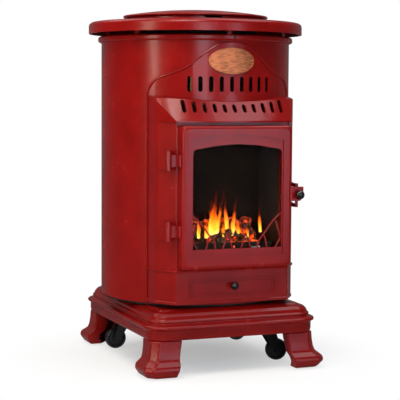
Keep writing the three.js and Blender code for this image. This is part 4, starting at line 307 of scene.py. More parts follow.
def machined_brass_in_painted_shade():
    """Turned brass: a warm yellow metal with fine lathe lines, its colour drawn darker as painted
    shade inside the cabinet.
    """
    material, tree, where = new_material("machined_brass_in_painted_shade")
    lines = add_node(
        tree, "ShaderNodeTexWave", {"Vector": where, "Scale": 260.0, "Distortion": 0.4},
        bands_direction="Z").outputs["Fac"]
    shade = ramp(tree, lines, (0.2, "#7E6030"), (0.8, "#A08048"))
    return surfaced(material, shade, spread(tree, lines, 0.2, 0.34), extra={"Metallic": 1.0})


def moulded(name, code, low, high, grain_mm, relief, coat=0.0):
    """Moulded phenolic, rubber or nylon: even colour with a fine grain."""
    material, tree, where = new_material(name)
    colour = linear(code)
    grain = speckle(tree, where, 1 / (grain_mm * MM), 3.0)
    shade = ramp(tree, grain, (0.3, toned(colour, 0.8)), (0.7, colour))
    return surfaced(
        material, shade, spread(tree, grain, low, high), bumped(tree, grain, relief, 0.0002),
        {"Coat Weight": coat, "Coat Roughness": 0.08})


def glass_rope():
    """Woven glass-fibre rope: grey, matt and ribbed by its plaits, about 2 mm apart."""
    material, tree, where = new_material("glass_fibre_rope")
    plait = add_node(tree, "ShaderNodeTexWave", {
        "Vector": where, "Scale": 80.0, "Distortion": 2.0, "Detail": 2.0}).outputs["Fac"]
    shade = ramp(tree, plait, (0.2, "#1E1D1C"), (0.8, "#57534F"))
    return surfaced(material, shade, 0.9, bumped(tree, plait, 0.7, 0.0006))


def fibre_board():
    """Pressed vermiculite board, browned by the fire: matt and flaky, in clouds of tone, drawn near
    black as painted shade inside the firebox.
    """
    material, tree, where = new_material("vermiculite_in_painted_shade")
    shade = ramp(tree, speckle(tree, where, 12.0, 5.0, 0.6), (0.35, "#040302"), (0.8, "#1C1209"))
    flakes = bumped(tree, cells(tree, where, 260.0), 0.2, 0.0004)
    return surfaced(material, shade, 0.95, flakes, {"Specular IOR Level": 0.1})


def glowing_coal(strength):
    """Ceramic-fibre coal in a gas flame: charred brown and ash grey, orange heat in its hollows."""
    material, tree, where = new_material("glowing_ceramic_coal")
    char = speckle(tree, where, 90.0, 6.0, 0.7)
    shade = ramp(
        tree, char, (0.36, "#080504"), (0.52, "#2B180C"), (0.62, "#6B4524"), (0.72, "#B08850"))
    heat = speckle(tree, where, 42.0, 4.0, 0.6)
    glow = ramp(
        tree, heat, (0.5, "#000000"), (0.58, "#8A1E02"), (0.65, "#FF5A08"), (0.76, "#FFC25A"))
    height = add_node(tree, "ShaderNodeSeparateXYZ", {"Vector": where}).outputs["Z"]
    low = spread(tree, height, 1.0, 0.55, SOLE + GLOW_FOOT, SOLE + GLOW_TOP)
    return surfaced(material, shade, 0.92, bumped(tree, char, 0.8, 0.002), {
        "Emission Color": glow, "Emission Strength": maths(tree, "MULTIPLY", low, strength)})


def flame(strength):
    """Burning gas: pale yellow at its root, orange above, red where thin, clear at its edges."""
    material, tree, where = new_material("gas_flame")
    rise = add_node(tree, "ShaderNodeAttribute", attribute_name="rise").outputs["Fac"]
    drawn = result(tree, "ShaderNodeMapping", {"Vector": where, "Scale": (150, 150, 34)})
    uneven = maths(tree, "MULTIPLY_ADD", speckle(tree, drawn, 1.0, 3.0), 0.7, rise)
    colour = ramp(
        tree, uneven, (0.2, "#FFE08A"), (0.5, "#FFB02A"), (0.78, "#FF7010"), (1.0, "#C22C06"))
    facing = add_node(tree, "ShaderNodeLayerWeight", {"Blend": 0.3}).outputs["Facing"]
    edge = ramp(tree, facing, (0.1, "#FFFFFF"), (0.9, "#000000"))
    fade = ramp(tree, uneven, (0.4, (0.75, 0.75, 0.75, 1)), (1.0, (0.02, 0.02, 0.02, 1)))
    light = result(tree, "ShaderNodeEmission", {"Color": colour, "Strength": strength})
    clear = result(tree, "ShaderNodeBsdfTransparent")
    return ended(material, result(tree, "ShaderNodeMixShader", {
        0: maths(tree, "MULTIPLY", edge, fade), 1: clear, 2: light}))


def stove_glass():
    """Ceramic stove glass, 4 mm thick: clear, faintly warm and with little reflection."""
    material, tree, where = new_material("ceramic_stove_glass")
    haze = spread(tree, speckle(tree, where, 9.0, 3.0), 0.0, 0.03)
    return surfaced(
        material, linear("#FFF6EC"), haze, extra={"IOR": 1.04, "Transmission Weight": 1.0})


PALETTE = {}


def make_palette(finish, fire):
    """Makes each finish once, by the name of its slot in the record or its own."""
    PALETTE.update({
        "red_enamel": stove_enamel("satin_stove_enamel", finish.enamel),
        "cast_enamel": stove_enamel("cast_stove_enamel", finish.enamel, 3.0, 0.75),
        "plinth_enamel": stove_enamel("plinth_stove_enamel", finish.plinth_enamel, 2.2, 0.3),
        "copper": copper_plate(finish.copper),
        "zinc": zinc_plate(),
        "dark_steel": heat_black_and_shade(),
        "brass": machined_brass_in_painted_shade(),
        "black_gloss": moulded("black_phenolic", "#0A0A0B", 0.2, 0.3, 2.0, 0.03, 0.15),
        "black_rubber": moulded("black_castor_nylon", "#151516", 0.36, 0.5, 1.2, 0.12),
        "orange_hose": moulded("orange_gas_hose_rubber", "#D9661E", 0.42, 0.55, 1.5, 0.15),
        "black_lacquer": moulded("black_lacquered_steel", "#131314", 0.3, 0.45, 1.4, 0.08),
        "rope_seal": glass_rope(),
        "fibre_board": fibre_board(),
        "ember_ceramic": glowing_coal(fire.ember_strength),
        "clear_glass": stove_glass(),
        "flame": flame(fire.flame_strength),
    })


# Mesh making

def linked(name, data):
    """A new object in the scene, at the origin."""
    item = bpy.data.objects.new(name, data)
    bpy.context.scene.collection.objects.link(item)
    return item


def object_from(mesh, name):
    """Turns a bmesh into an object."""
    data = bpy.data.meshes.new(name)
    mesh.to_mesh(data)
    mesh.free()
    return linked(name, data)


def baked(piece):
    """Turns a piece and its modifiers into a plain mesh."""
    graph = bpy.context.evaluated_depsgraph_get()
    data = bpy.data.meshes.new_from_object(
        piece.evaluated_get(graph), preserve_all_data_layers=True, depsgraph=graph)
    piece.modifiers.clear()
    piece.data = data
    return piece


def smoothed(piece, angle=SHARP_ANGLE):
    """Shades curved faces smooth and keeps the flat ones flat."""
    piece.data.polygons.foreach_set("use_smooth", [True] * len(piece.data.polygons))
    piece.data.set_sharp_from_angle(angle=angle)
    weighted = piece.modifiers.new("Even flats", "WEIGHTED_NORMAL")
    weighted.keep_sharp = True
    return baked(piece)


def dressed(piece, body, slot, material=None, stands_for=()):
    """Gives a finished piece its material, by name or by its slot, and its body, and hides the CAD
    nodes that it stands for.
    """
    piece.data.materials.clear()
    piece.data.materials.append(PALETTE[material or slot])
    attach(piece, body)
    if stands_for:
        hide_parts(*stands_for)
    return piece


def casting(node, slot, body="cabinet", cast=0, sheet=0, material=None, angle=28, segments=3):
    """A node's casting with welded faces. Its edges are cast or sheet times that finish setting, or
    as the table has them."""
    finish = bpy.context.scene.heater_finish
    edge = cast * finish.cast_edge + sheet * finish.sheet_edge or EDGES.get(node, 0) * MM
    mesh = bmesh.new()
    mesh.from_mesh(NODES[node].data)
    bmesh.ops.remove_doubles(mesh, verts=mesh.verts, dist=WELD)
    bmesh.ops.dissolve_limit(mesh, angle_limit=FLAT_ANGLE, verts=mesh.verts, edges=mesh.edges)
    piece = object_from(mesh, f"{node}_finished")
    if edge:
        bevel = piece.modifiers.new("Soft edges", "BEVEL")
        bevel.width = edge
        bevel.segments = segments
        bevel.limit_method = "ANGLE"
        bevel.angle_limit = math.radians(angle)
        piece = baked(piece)
    piece = smoothed(piece)
    return dressed(piece, body, slot, material, [node])


def skinned(mesh, rings, sides):
    """Faces between rings and over the open ends. A ring of one vertex is a point."""
    for low, high in zip(rings, rings[1:]):
        for k in range(sides):
            n = (k + 1) % sides
            corners = [
                ring[i % len(ring)] for ring, i in ((low, k), (low, n), (high, n), (high, k))]
            mesh.faces.new(list(dict.fromkeys(corners)))
    for ring in (rings[0], rings[-1]):
        if len(ring) > 1:
            mesh.faces.new(ring)


def turned(name, profile, centre, axis, sides=64):
    """A turned solid from (radius, height) pairs in millimetres along an axis, with closed ends."""
    mesh = bmesh.new()
    rings = []
    for radius, height in profile:
        rings.append([
            mesh.verts.new((radius * MM * math.cos(a), radius * MM * math.sin(a), height * MM))
            for a in (math.tau * k / sides for k in range(sides if radius else 1))])
    skinned(mesh, rings, sides)
    bmesh.ops.recalc_face_normals(mesh, faces=mesh.faces)
    turn = Vector((0, 0, 1)).rotation_difference(Vector(axis)).to_matrix().to_4x4()
    mesh.transform(Matrix.Translation(centre) @ turn)
    return smoothed(object_from(mesh, name))


# Fastener heads, coals and routes

def node_tree(name, sizes):
    """A geometry node tree with named sizes, what is given to it, and its output node."""
    tree = bpy.data.node_groups.new(name, "GeometryNodeTree")
    tree.interface.new_socket("Geometry", in_out="INPUT", socket_type="NodeSocketGeometry")
    for label, kind in sizes:
        tree.interface.new_socket(label, in_out="INPUT", socket_type=kind)
    tree.interface.new_socket("Geometry", in_out="OUTPUT", socket_type="NodeSocketGeometry")
    given = add_node(tree, "NodeGroupInput").outputs
    return tree, given, add_node(tree, "NodeGroupOutput")


def finish_tree(tree, output, geometry, material):
    """Ends a tree in Realize Instances and Set Material."""
    real = result(tree, "GeometryNodeRealizeInstances", {"Geometry": geometry})
    painted = result(tree, "GeometryNodeSetMaterial", {"Geometry": real, "Material": material})
    tree.links.new(painted, output.inputs["Geometry"])


def grown(piece, tree, values):
    """Runs a tree on a piece and keeps the plain mesh."""
    modifier = piece.modifiers.new(tree.name, "NODES")
    modifier.node_group = tree
    for item in tree.interface.items_tree:
        if item.item_type == "SOCKET" and item.in_out == "INPUT" and item.name in values:
            modifier[item.identifier] = values[item.name]
    return baked(piece)


def fastener_tree(material):
    """Domed heads on every point, each cross-slotted and turned to its facing."""
    tree, given, output = node_tree("Fastener heads", [
        ("Head radius", "NodeSocketFloat"), ("Head height", "NodeSocketFloat"),
        ("Slot width", "NodeSocketFloat")])
    radius, height, slot = (given[name] for name in ("Head radius", "Head height", "Slot width"))
    dome = result(tree, "GeometryNodeMeshUVSphere", {"Segments": 20, "Rings": 8, "Radius": 1.0})
    size = result(tree, "ShaderNodeCombineXYZ", {"X": radius, "Y": radius, "Z": height})
    head = result(tree, "GeometryNodeTransform", {"Geometry": dome, "Scale": size})
    long = maths(tree, "MULTIPLY", radius, 1.1)
    lift = result(tree, "ShaderNodeCombineXYZ", {"Z": height})
    carved = add_node(tree, "GeometryNodeMeshBoolean", {"Mesh 1": head}, operation="DIFFERENCE")
    for across, along in (("X", "Y"), ("Y", "X")):
        bar = result(tree, "ShaderNodeCombineXYZ", {across: slot, along: long, "Z": height})
        block = result(tree, "GeometryNodeMeshCube", {"Size": bar})
        cut = result(tree, "GeometryNodeTransform", {"Geometry": block, "Translation": lift})
        tree.links.new(cut, carved.inputs["Mesh 2"])
    facing = result(
        tree, "GeometryNodeInputNamedAttribute", {"Name": "facing"}, data_type="FLOAT_VECTOR")
    turn = result(tree, "FunctionNodeAlignRotationToVector", {"Vector": facing}, axis="Z")
    heads = result(tree, "GeometryNodeInstanceOnPoints", {
        "Points": given["Geometry"], "Instance": carved.outputs["Mesh"], "Rotation": turn})
    finish_tree(tree, output, heads, material)
    return tree


def fasteners(name, body, slot, spots, radius, height, slot_width=1.1, material=None):
    """Screw or rivet heads at (point, facing) spots, sized in millimetres, as one piece."""
    mesh = bmesh.new()
    layer = mesh.verts.layers.float_vector.new("facing")
    for point, facing in spots:
        vertex = mesh.verts.new(point)
        vertex[layer] = Vector(facing).normalized()
    piece = grown(object_from(mesh, name), fastener_tree(PALETTE[material or slot]), {
        "Head radius": radius * MM, "Head height": height * MM, "Slot width": slot_width * MM})
    return dressed(smoothed(piece), body, slot, material)


def seat(node, point, facing):
    """Where a fastener's head sits: the node's first face on the way in to the point."""
    facing = Vector(facing).normalized()
    mesh = bmesh.new()
    mesh.from_mesh(NODES[node].data)
    hit = BVHTree.FromBMesh(mesh).ray_cast(Vector(point) + facing * SEAT_SEARCH, -facing)[0]
    mesh.free()
    if hit is None:
        raise RuntimeError(f"no face of {node} for a fastener")
    return hit - facing * SEAT_SINK, facing


def knob_measures(node):
    """The middle of a knob's back face, and its reach and radius in millimetres."""
    low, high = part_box(node)
    centre = Vector(((low.x + high.x) / 2, high.y, (low.z + high.z) / 2))
    return centre, (high.y - low.y) / MM, (high.x - low.x) / 2 / MM


def smooth_route(points, steps):
    """Points along a centripetal curve through the given ones."""
    ends = [points[0] * 2 - points[1], *points, points[-1] * 2 - points[-2]]
    route = []
    for four in zip(ends, ends[1:], ends[2:], ends[3:]):
        times = [0.0]
        for a, b in zip(four, four[1:]):
            times.append(times[-1] + math.sqrt((b - a).length))
        for k in range(steps):
            now = times[1] + (times[2] - times[1]) * k / steps
            level = four
            for spans in (((0, 1), (1, 2), (2, 3)), ((0, 2), (1, 3)), ((1, 2),)):
                level = [
                    level[n].lerp(level[n + 1], (now - times[a]) / (times[b] - times[a]))
                    for n, (a, b) in enumerate(spans)]
            route.append(level[0])
    return [*route, points[-1].copy()]


def coal_tree(material):
    """Rough lumps on every point, each of its own size and turn."""
    tree, given, output = node_tree("Ceramic coals", [
        ("Coal size", "NodeSocketFloat"), ("Seed", "NodeSocketInt")])
    size, seed = given["Coal size"], given["Seed"]
    lump = result(tree, "GeometryNodeMeshIcoSphere", {"Radius": size, "Subdivisions": 4})
    sizes = result(tree, "FunctionNodeRandomValue", {
        0: (0.75, 0.7, 0.6), 1: (1.3, 1.05, 0.95), "Seed": seed}, data_type="FLOAT_VECTOR")
    turns = result(tree, "FunctionNodeRandomValue", {
        0: (-0.5, -0.5, 0.0), 1: (0.5, 0.5, 6.28), "Seed": seed}, data_type="FLOAT_VECTOR")
    lumps = result(tree, "GeometryNodeInstanceOnPoints", {
        "Points": given["Geometry"], "Instance": lump, "Rotation": turns, "Scale": sizes})
    real = result(tree, "GeometryNodeRealizeInstances", {"Geometry": lumps})
    rough = add_node(tree, "ShaderNodeTexNoise", {"Scale": 55.0, "Detail": 4.0, "Roughness": 0.65})
    centred = result(tree, "ShaderNodeVectorMath", {
        0: rough.outputs["Color"], 1: (0.5, 0.5, 0.5)}, operation="SUBTRACT")
    push = result(tree, "ShaderNodeVectorMath", {0: centred, "Scale": 0.024}, operation="SCALE")
    shaped = result(tree, "GeometryNodeSetPosition", {"Geometry": real, "Offset": push})
    finish_tree(tree, output, shaped, material)
    return tree


# Pieces

class HEATER_OT_plinth(bpy.types.Operator):
    """Enamelled plinth casting on its four splayed feet, and the floor plate inside it."""
    bl_idname = "heater.plinth"
    bl_label = "Plinth and feet"

    def execute(self, context):
        casting("plinth", "plinth_enamel", cast=1, angle=20)
        for corner in CORNERS:
            casting(f"leg_{corner}", "plinth_enamel", cast=2.7, angle=25, segments=5)
        casting("floor_plate", "dark_steel", sheet=1)
        return {"FINISHED"}


class HEATER_OT_drum(bpy.types.Operator):
    """Rolled sheet drum with its base ring, rolled collar and heat shield."""
    bl_idname = "heater.drum"
    bl_label = "Drum and collar"

    def execute(self, context):
        casting("cabinet_shell", "red_enamel", sheet=1, angle=40)
        casting("top_collar", "red_enamel", sheet=1)
        # The base ring's black is painted shade for the shadowed gap under the drum.
        casting("cabinet_base_ring", "dark_steel", sheet=1)
        low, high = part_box("top_collar")
        aside = 4 * MM
        spot = seat("top_collar", (AXIS.x + aside, low.y, (low.z + high.z) / 2), (0, -1, 0))
        fasteners(
            "collar_screw", "cabinet", "zinc", [spot], radius=3.2, height=1.8,
            material="black_lacquer")
        # The heat shield is zinc; it is drawn matt black as painted shade behind the crest slots.
        casting("heat_shield", "zinc", material="dark_steel")
        return {"FINISHED"}


class HEATER_OT_crest(bpy.types.Operator):
    """Curved crest panel with its raised rim and nine slots."""
    bl_idname = "heater.crest"
    bl_label = "Crest panel"

    def execute(self, context):
        casting("crest_panel", "red_enamel", sheet=1, angle=40)
        return {"FINISHED"}


class HEATER_OT_oval_plate(bpy.types.Operator):
    """Bare oval copper plate and its two rivets."""
    bl_idname = "heater.oval_plate"
    bl_label = "Oval plate"

    def execute(self, context):
        casting("oval_plate", "copper", sheet=1)
        low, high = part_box("oval_plate")
        inset, thickness = 6 * MM, 1 * MM
        radius = AXIS.y - low.y
        turn = math.asin(((high.x - low.x) / 2 - inset) / radius)
        middle = Vector((AXIS.x, AXIS.y, (low.z + high.z) / 2))
        facings = [Vector((side * math.sin(turn), -math.cos(turn), 0)) for side in (-1, 1)]
        spots = [(middle + facing * (radius - thickness), facing) for facing in facings]
        fasteners(
            "oval_plate_rivets", "cabinet", "copper", spots, radius=2.6, height=1.6,
            slot_width=NO_SLOT)
        return {"FINISHED"}


class HEATER_OT_front(bpy.types.Operator):
    """Front casting with its shaped cheeks, beads and raised panel, and the panel's small knob."""
    bl_idname = "heater.front"
    bl_label = "Front casting"

    def execute(self, context):
        casting("front_body", "red_enamel", sheet=3, angle=30)
        centre, reach, radius = knob_measures("ash_panel_knob")
        shares = (
            (0, 0), (0.5, 0), (0.46, 0.3), (0.8, 0.42), (0.98, 0.58), (1, 0.68), (0.93, 0.82),
            (0.7, 0.94), (0.36, 0.99), (0, 1))
        profile = [(radius * across, reach * along) for across, along in shares]
        knob = turned("ash_panel_knob_finished", profile, centre, (0, -1, 0))
        dressed(knob, "cabinet", "black_gloss", stands_for=["ash_panel_knob"])
        return {"FINISHED"}


class HEATER_OT_hood(bpy.types.Operator):
    """Sloping hood casting with its warped face and row of slanted louvres."""
    bl_idname = "heater.hood"
    bl_label = "Louvred hood"

    def execute(self, context):
        casting("hood", "red_enamel", sheet=2.6, angle=24)
        return {"FINISHED"}


class HEATER_OT_hinges(bpy.types.Operator):
    """Two door hinges: brackets on the cheek, pins, and straps on the door."""
    bl_idname = "heater.hinges"
    bl_label = "Hinges"

    def execute(self, context):
        for level in ("lower", "upper"):
            casting(f"hinge_bracket_{level}", "red_enamel", sheet=1.5)
            casting(f"hinge_pin_{level}", "red_enamel", sheet=1.5)
            casting(f"door_strap_{level}", "red_enamel", body="door", sheet=1.5)
        return {"FINISHED"}


class HEATER_OT_door(bpy.types.Operator):
    """Door casting with its rounded edge and arched recess."""
    bl_idname = "heater.door"
    bl_label = "Door casting"

    def execute(self, context):
        casting("door_frame", "red_enamel", body="door", sheet=2.6, angle=30)
        return {"FINISHED"}


class HEATER_OT_fret(bpy.types.Operator):
    """Cast fret of arched and leaning bars along the window's sill."""
    bl_idname = "heater.fret"
    bl_label = "Window fret"

    def execute(self, context):
        casting("window_fret", "red_enamel", body="door", angle=30)
        return {"FINISHED"}


class HEATER_OT_glazing(bpy.types.Operator):
    """Stove glass on its rope seal, held by a sheet retainer with screws."""
    bl_idname = "heater.glazing"
    bl_label = "Glazing"

    def execute(self, context):
        casting("door_glass", "clear_glass", body="door")
        casting("glass_seal", "rope_seal", body="door")
        casting("glass_retainer", "dark_steel", body="door")
        low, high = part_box("glass_retainer")
        inset = 5 * MM
        spots = [
            seat("glass_retainer", (x, high.y, low.z + share * (high.z - low.z)), (0, 1, 0))
            for x in (low.x + inset, high.x - inset) for share in (0.12, 0.4, 0.68)]
        fasteners("retainer_screws", "door", "zinc", spots, radius=3.4, height=1.7)
        return {"FINISHED"}


class HEATER_OT_latch(bpy.types.Operator):
    """Ball knob on its spindle, and the keeper on the cheek."""
    bl_idname = "heater.latch"
    bl_label = "Latch"

    def execute(self, context):
        centre, reach, ball = knob_measures("latch_knob")
        collar, steps = 1.5, 20
        arc = []
        for k in range(steps):
            angle = -math.pi / 2 + math.pi * k / steps
            height = reach - ball + ball * math.sin(angle)
            if height > collar:
                arc.append((ball * math.cos(angle), height))
        profile = [(0, 0), (ball * 0.62, 0), (ball * 0.55, collar - 0.1), *arc, (0, reach)]
        knob = turned("latch_knob_finished", profile, centre, (0, -1, 0))
        dressed(knob, "latch", "black_gloss", stands_for=["latch_knob"])
        casting("latch_spindle", "zinc", body="latch")
        casting("keeper_plate", "red_enamel")
        return {"FINISHED"}


class HEATER_OT_firebox(bpy.types.Operator):
    """Sheet firebox with its back board, burner tray and pilot."""
    bl_idname = "heater.firebox"
    bl_label = "Firebox"

    def execute(self, context):
        casting("firebox", "dark_steel", angle=40)
        casting("firebox_back_panel", "fibre_board")
        casting("burner_tray", "dark_steel")
        casting("pilot_assembly", "zinc")
        return {"FINISHED"}


class HEATER_OT_coals(bpy.types.Operator):
    """Ceramic coals heaped on the burner tray, glowing in their hollows."""
    bl_idname = "heater.coals"
    bl_label = "Coals"

    def execute(self, context):
        fire = context.scene.heater_fire
        low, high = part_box("coal_bed")
        inset = fire.coal_size * 1.15
        lift = 5 * MM
        chance = random.Random(fire.coal_seed)
        mesh = bmesh.new()
        # Rows from the front, 0, to the back, 2, with their number of coals and their height
        rows = (
            (0, 8, low.z + inset * 0.8), (1, 7, low.z + inset * 1.2),
            (2, 8, low.z + inset * 1.6), (0.6, 6, low.z + inset * 1.9),
            (1.5, 7, low.z + inset * 2.3), (2, 6, high.z - inset * 0.95))
        for back, count, height in rows:
            for k in range(count):
                share = (k + 0.2 + 0.6 * chance.random()) / count
                x = low.x + inset + (high.x - low.x - 2 * inset) * share
                y = low.y + inset + (high.y - low.y - 2 * inset) * back / 2
                mesh.verts.new((x, y, height + lift * (chance.random() - 0.5)))
        heap = grown(object_from(mesh, "ceramic_coals"), coal_tree(PALETTE["ember_ceramic"]), {
            "Coal size": fire.coal_size, "Seed": fire.coal_seed})
        heap = smoothed(heap, math.radians(60))
        dressed(heap, "cabinet", "ember_ceramic", stands_for=["coal_bed"])
        return {"FINISHED"}


class HEATER_OT_flames(bpy.types.Operator):
    """Tongues of flame over the coals, each bending and thinning to its tip."""
    bl_idname = "heater.flames"
    bl_label = "Flames"

    # Root, middle and tip of each tongue, and its half width, in millimetres
    tongues = (
        ((-33, -196, 300), (-30, -190, 340), (-22, -190, 400), 13),
        ((-36, -198, 298), (-36, -192, 340), (-33, -190, 380), 10),
        ((-24, -193, 300), (-14, -190, 334), (-4, -190, 412), 8),
        ((-48, -200, 292), (-46, -196, 312), (-50, -194, 350), 9),
        ((-68, -200, 292), (-66, -196, 318), (-70, -192, 348), 6),
        ((10, -176, 300), (8, -172, 346), (4, -170, 384), 8),
        ((20, -188, 294), (18, -186, 334), (30, -185, 384), 8),
        ((33, -190, 292), (31, -187, 316), (25, -185, 346), 8),
        ((50, -196, 290), (52, -195, 306), (47, -195, 325), 7),
        ((84, -192, 300), (81, -190, 328), (83, -190, 364), 6),
        ((-2, -190, 292), (-6, -188, 312), (-4, -186, 334), 8),
    )
    strands, levels, sides = 4, 20, 10
    strand_gap, sway, ripples = 3 * MM, 7 * MM, 70

    def execute(self, context):
        chance = random.Random(context.scene.heater_fire.coal_seed)
        mesh = bmesh.new()
        layer = mesh.verts.layers.float.new("rise")
        levels, sides = self.levels, self.sides
        for root, middle, tip, half in self.tongues:
            for strand in range(self.strands):
                start, bend, end = (place(*p) for p in (root, middle, tip))
                across = (strand / (self.strands - 1) - 0.5) * half * MM
                reach = 1 - 0.45 * chance.random() * (strand > 0)
                start.x += across
                bend = start.lerp(bend, reach) + Vector((across * 0.4, 0, 0))
                end = start.lerp(end, reach)
                end.x += across * (chance.random() - 0.3)
                drift = Vector((0, (strand - 1.5) * self.strand_gap, 0))
                rings = []
                for k in range(levels + 1):
                    t = k / levels
                    point = start * (1 - t) ** 2 + bend * 2 * t * (1 - t) + end * t * t + drift
                    swell = math.sin(math.pi * min(1.0, 0.2 + 0.8 * t)) ** 0.9
                    wide = 0.62 * half * MM * swell * (1 - 0.5 * t)
                    point.x += noise.noise(point * self.ripples) * self.sway * t
                    ring = []
                    for s in range(sides):
                        angle = math.tau * s / sides
                        off = Vector((wide * math.cos(angle), 0.6 * wide * math.sin(angle), 0))
                        vertex = mesh.verts.new(point + off)
                        vertex[layer] = t
                        ring.append(vertex)
                    rings.append(ring)
                skinned(mesh, rings, sides)
        bmesh.ops.remove_doubles(mesh, verts=mesh.verts, dist=WELD)
        bmesh.ops.recalc_face_normals(mesh, faces=mesh.faces)
        piece = smoothed(object_from(mesh, "flames"), math.radians(80))
        dressed(piece, "cabinet", None, "flame")
        return {"FINISHED"}


class HEATER_OT_gas_fittings(bpy.types.Operator):
    """Gas valve, burner pipe and the regulator on its shelf."""
    bl_idname = "heater.gas_fittings"
    bl_label = "Gas fittings"

    def execute(self, context):
        casting("gas_valve", "brass")
        casting("burner_pipe", "brass")
        casting("regulator", "zinc")
        casting("regulator_shelf", "zinc")
        return {"FINISHED"}


class HEATER_OT_hose(bpy.types.Operator):
    """Orange gas hose from the valve down to the regulator."""
    bl_idname = "heater.hose"
    bl_label = "Gas hose"

    # The hose's way in millimetres, its diameter in metres, and the steps between points
    stops = (
        (-83.3, -20, 721.7), (-97.3, -20, 721.7), (-128, -14, 706), (-154, 4, 672), (-166, 18, 620),
        (-168, 22, 560), (-165, 20, 490), (-165, 20, 448.6))
    diameter = 0.014
    steps = 4

    def execute(self, context):
        route = smooth_route([place(*p) for p in self.stops], self.steps)
        data = bpy.data.curves.new("gas_hose_finished", "CURVE")
        data.dimensions = "3D"
        data.bevel_depth = self.diameter / 2
        data.bevel_resolution = 5
        data.use_fill_caps = True
        line = data.splines.new("POLY")
        line.points.add(len(route) - 1)
        for knot, point in zip(line.points, route):
            knot.co = (*point, 1)
        hose = linked("gas_hose_finished", data)
        dressed(hose, "cabinet", "orange_hose", stands_for=["gas_hose"])
        return {"FINISHED"}


class HEATER_OT_top(bpy.types.Operator):
    """Cast top plate with its raised ring, and the hinged lid over the controls."""
    bl_idname = "heater.top"
    bl_label = "Top plate and lid"

    def execute(self, context):
        casting("top_plate", "red_enamel", cast=0.5, material="cast_enamel")
        casting("lid", "red_enamel", body="lid", cast=0.5, material="cast_enamel")
        casting("lid_hinge_pin", "zinc")
        return {"FINISHED"}


class HEATER_OT_controls(bpy.types.Operator):
    """Control panel under the lid with its gas knob and igniter."""
    bl_idname = "heater.controls"
    bl_label = "Controls"

    def execute(self, context):
        casting("control_panel", "dark_steel")
        low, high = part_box("control_panel")
        middle = (low + high) / 2
        screw_circle = 120 * MM
        spots = []
        for turn in map(math.radians, (35, 145, 215, 325)):
            x = middle.x + screw_circle * math.cos(turn)
            y = middle.y + screw_circle * math.sin(turn)
            spots.append(seat("control_panel", (x, y, high.z), (0, 0, 1)))
        fasteners("control_panel_screws", "cabinet", "zinc", spots, radius=3.2, height=1.6)
        casting("control_knob", "black_gloss", body="control_knob")
        casting("igniter_body", "black_gloss")
        casting("igniter_button", "black_gloss", body="igniter_button")
        return {"FINISHED"}


class HEATER_OT_rear_cover(bpy.types.Operator):
    """Lift-off rear cover with its louvre slots."""
    bl_idname = "heater.rear_cover"
    bl_label = "Rear cover"

    def execute(self, context):
        casting("rear_cover", "red_enamel", body="rear_cover", sheet=1, angle=40)
        return {"FINISHED"}


class HEATER_OT_castors(bpy.types.Operator):
    """Four swivelling castors: plates, forks and nylon wheels."""
    bl_idname = "heater.castors"
    bl_label = "Castors"

    def execute(self, context):
        for corner in CORNERS:
            plate, fork, wheel = (f"castor_{part}_{corner}" for part in ("plate", "fork", "wheel"))
            casting(plate, "zinc")
            casting(fork, "zinc", body=f"castor_{corner}", material="black_lacquer")
            low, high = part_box(wheel)
            centre = (low + high) / 2
            half, radius = (high.y - low.y) / 2 / MM, (high.z - low.z) / 2 / MM
            bore, hub = 3.1, 7.5
            profile = [
                (bore, -half), (hub, -half), (hub + 1, -half * 0.55), (radius * 0.68, -half * 0.5),
                (radius * 0.76, -half * 0.92), (radius * 0.86, -half),
                (radius * 0.95, -half * 0.84), (radius * 0.99, -half * 0.5), (radius, 0)]
            profile += [(r, -h) for r, h in reversed(profile[:-1])]
            piece = turned(f"{wheel}_finished", profile, centre, (0, 1, 0))
            dressed(piece, f"wheel_{corner}", "black_rubber", stands_for=[wheel])
            aside = 15 * MM
            spots = [
                seat(fork, (centre.x, centre.y + side * aside, centre.z), (0, side, 0))
                for side in (-1, 1)]
            fasteners(
                f"axle_rivets_{corner}", f"castor_{corner}", "zinc", spots, radius=4.0, height=1.4,
                slot_width=NO_SLOT)
            low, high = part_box(plate)
            inset = Vector((5, 4.5, 0)) * MM
            spots = [
                seat(plate, (x, y, high.z), (0, 0, -1))
                for x in (low.x + inset.x, high.x - inset.x)
                for y in (low.y + inset.y, high.y - inset.y)]
            fasteners(
                f"castor_bolts_{corner}", "cabinet", "zinc", spots, radius=3.0, height=1.8,
                slot_width=NO_SLOT)
        return {"FINISHED"}


# Studio

def looked_at(tree):
    """The light path's outputs, and one for rays from the camera, straight or through glass."""
    path = add_node(tree, "ShaderNodeLightPath").outputs
    return path, maths(tree, "MAXIMUM", path["Is Camera Ray"], path["Is Transmission Ray"])


def make_floor(colour):
    """A paper floor that keeps the shadow and runs into the background further out."""
    mesh = bmesh.new()
    bmesh.ops.create_grid(mesh, x_segments=1, y_segments=1, size=FLOOR_REACH)
    floor = object_from(mesh, "studio_floor")
    material, tree, where = new_material("studio_paper")
    bump = result(tree, "ShaderNodeBump", {"Height": speckle(tree, where, 300.0), "Strength": 0.02})
    paper = result(tree, "ShaderNodeBsdfPrincipled", {
        "Base Color": list(colour), "Roughness": 0.9, "Normal": bump, "Specular IOR Level": 0.1})
    reach = result(tree, "ShaderNodeVectorMath", {0: where}, operation="LENGTH")
    away = spread(tree, reach, 0.4, 1.0, 0.05, 0.5, "SMOOTHSTEP")
    path, looked = looked_at(tree)
    seen = maths(tree, "MAXIMUM", looked, path["Is Glossy Ray"])
    bright = result(tree, "ShaderNodeEmission", {
        "Color": (1, 1, 1, 1), "Strength": spread(tree, looked, 0.15, 1.0)})
    share = maths(tree, "MULTIPLY", away, seen)
    both = result(tree, "ShaderNodeMixShader", {0: share, 1: paper, 2: bright})
    floor.data.materials.append(ended(material, both))


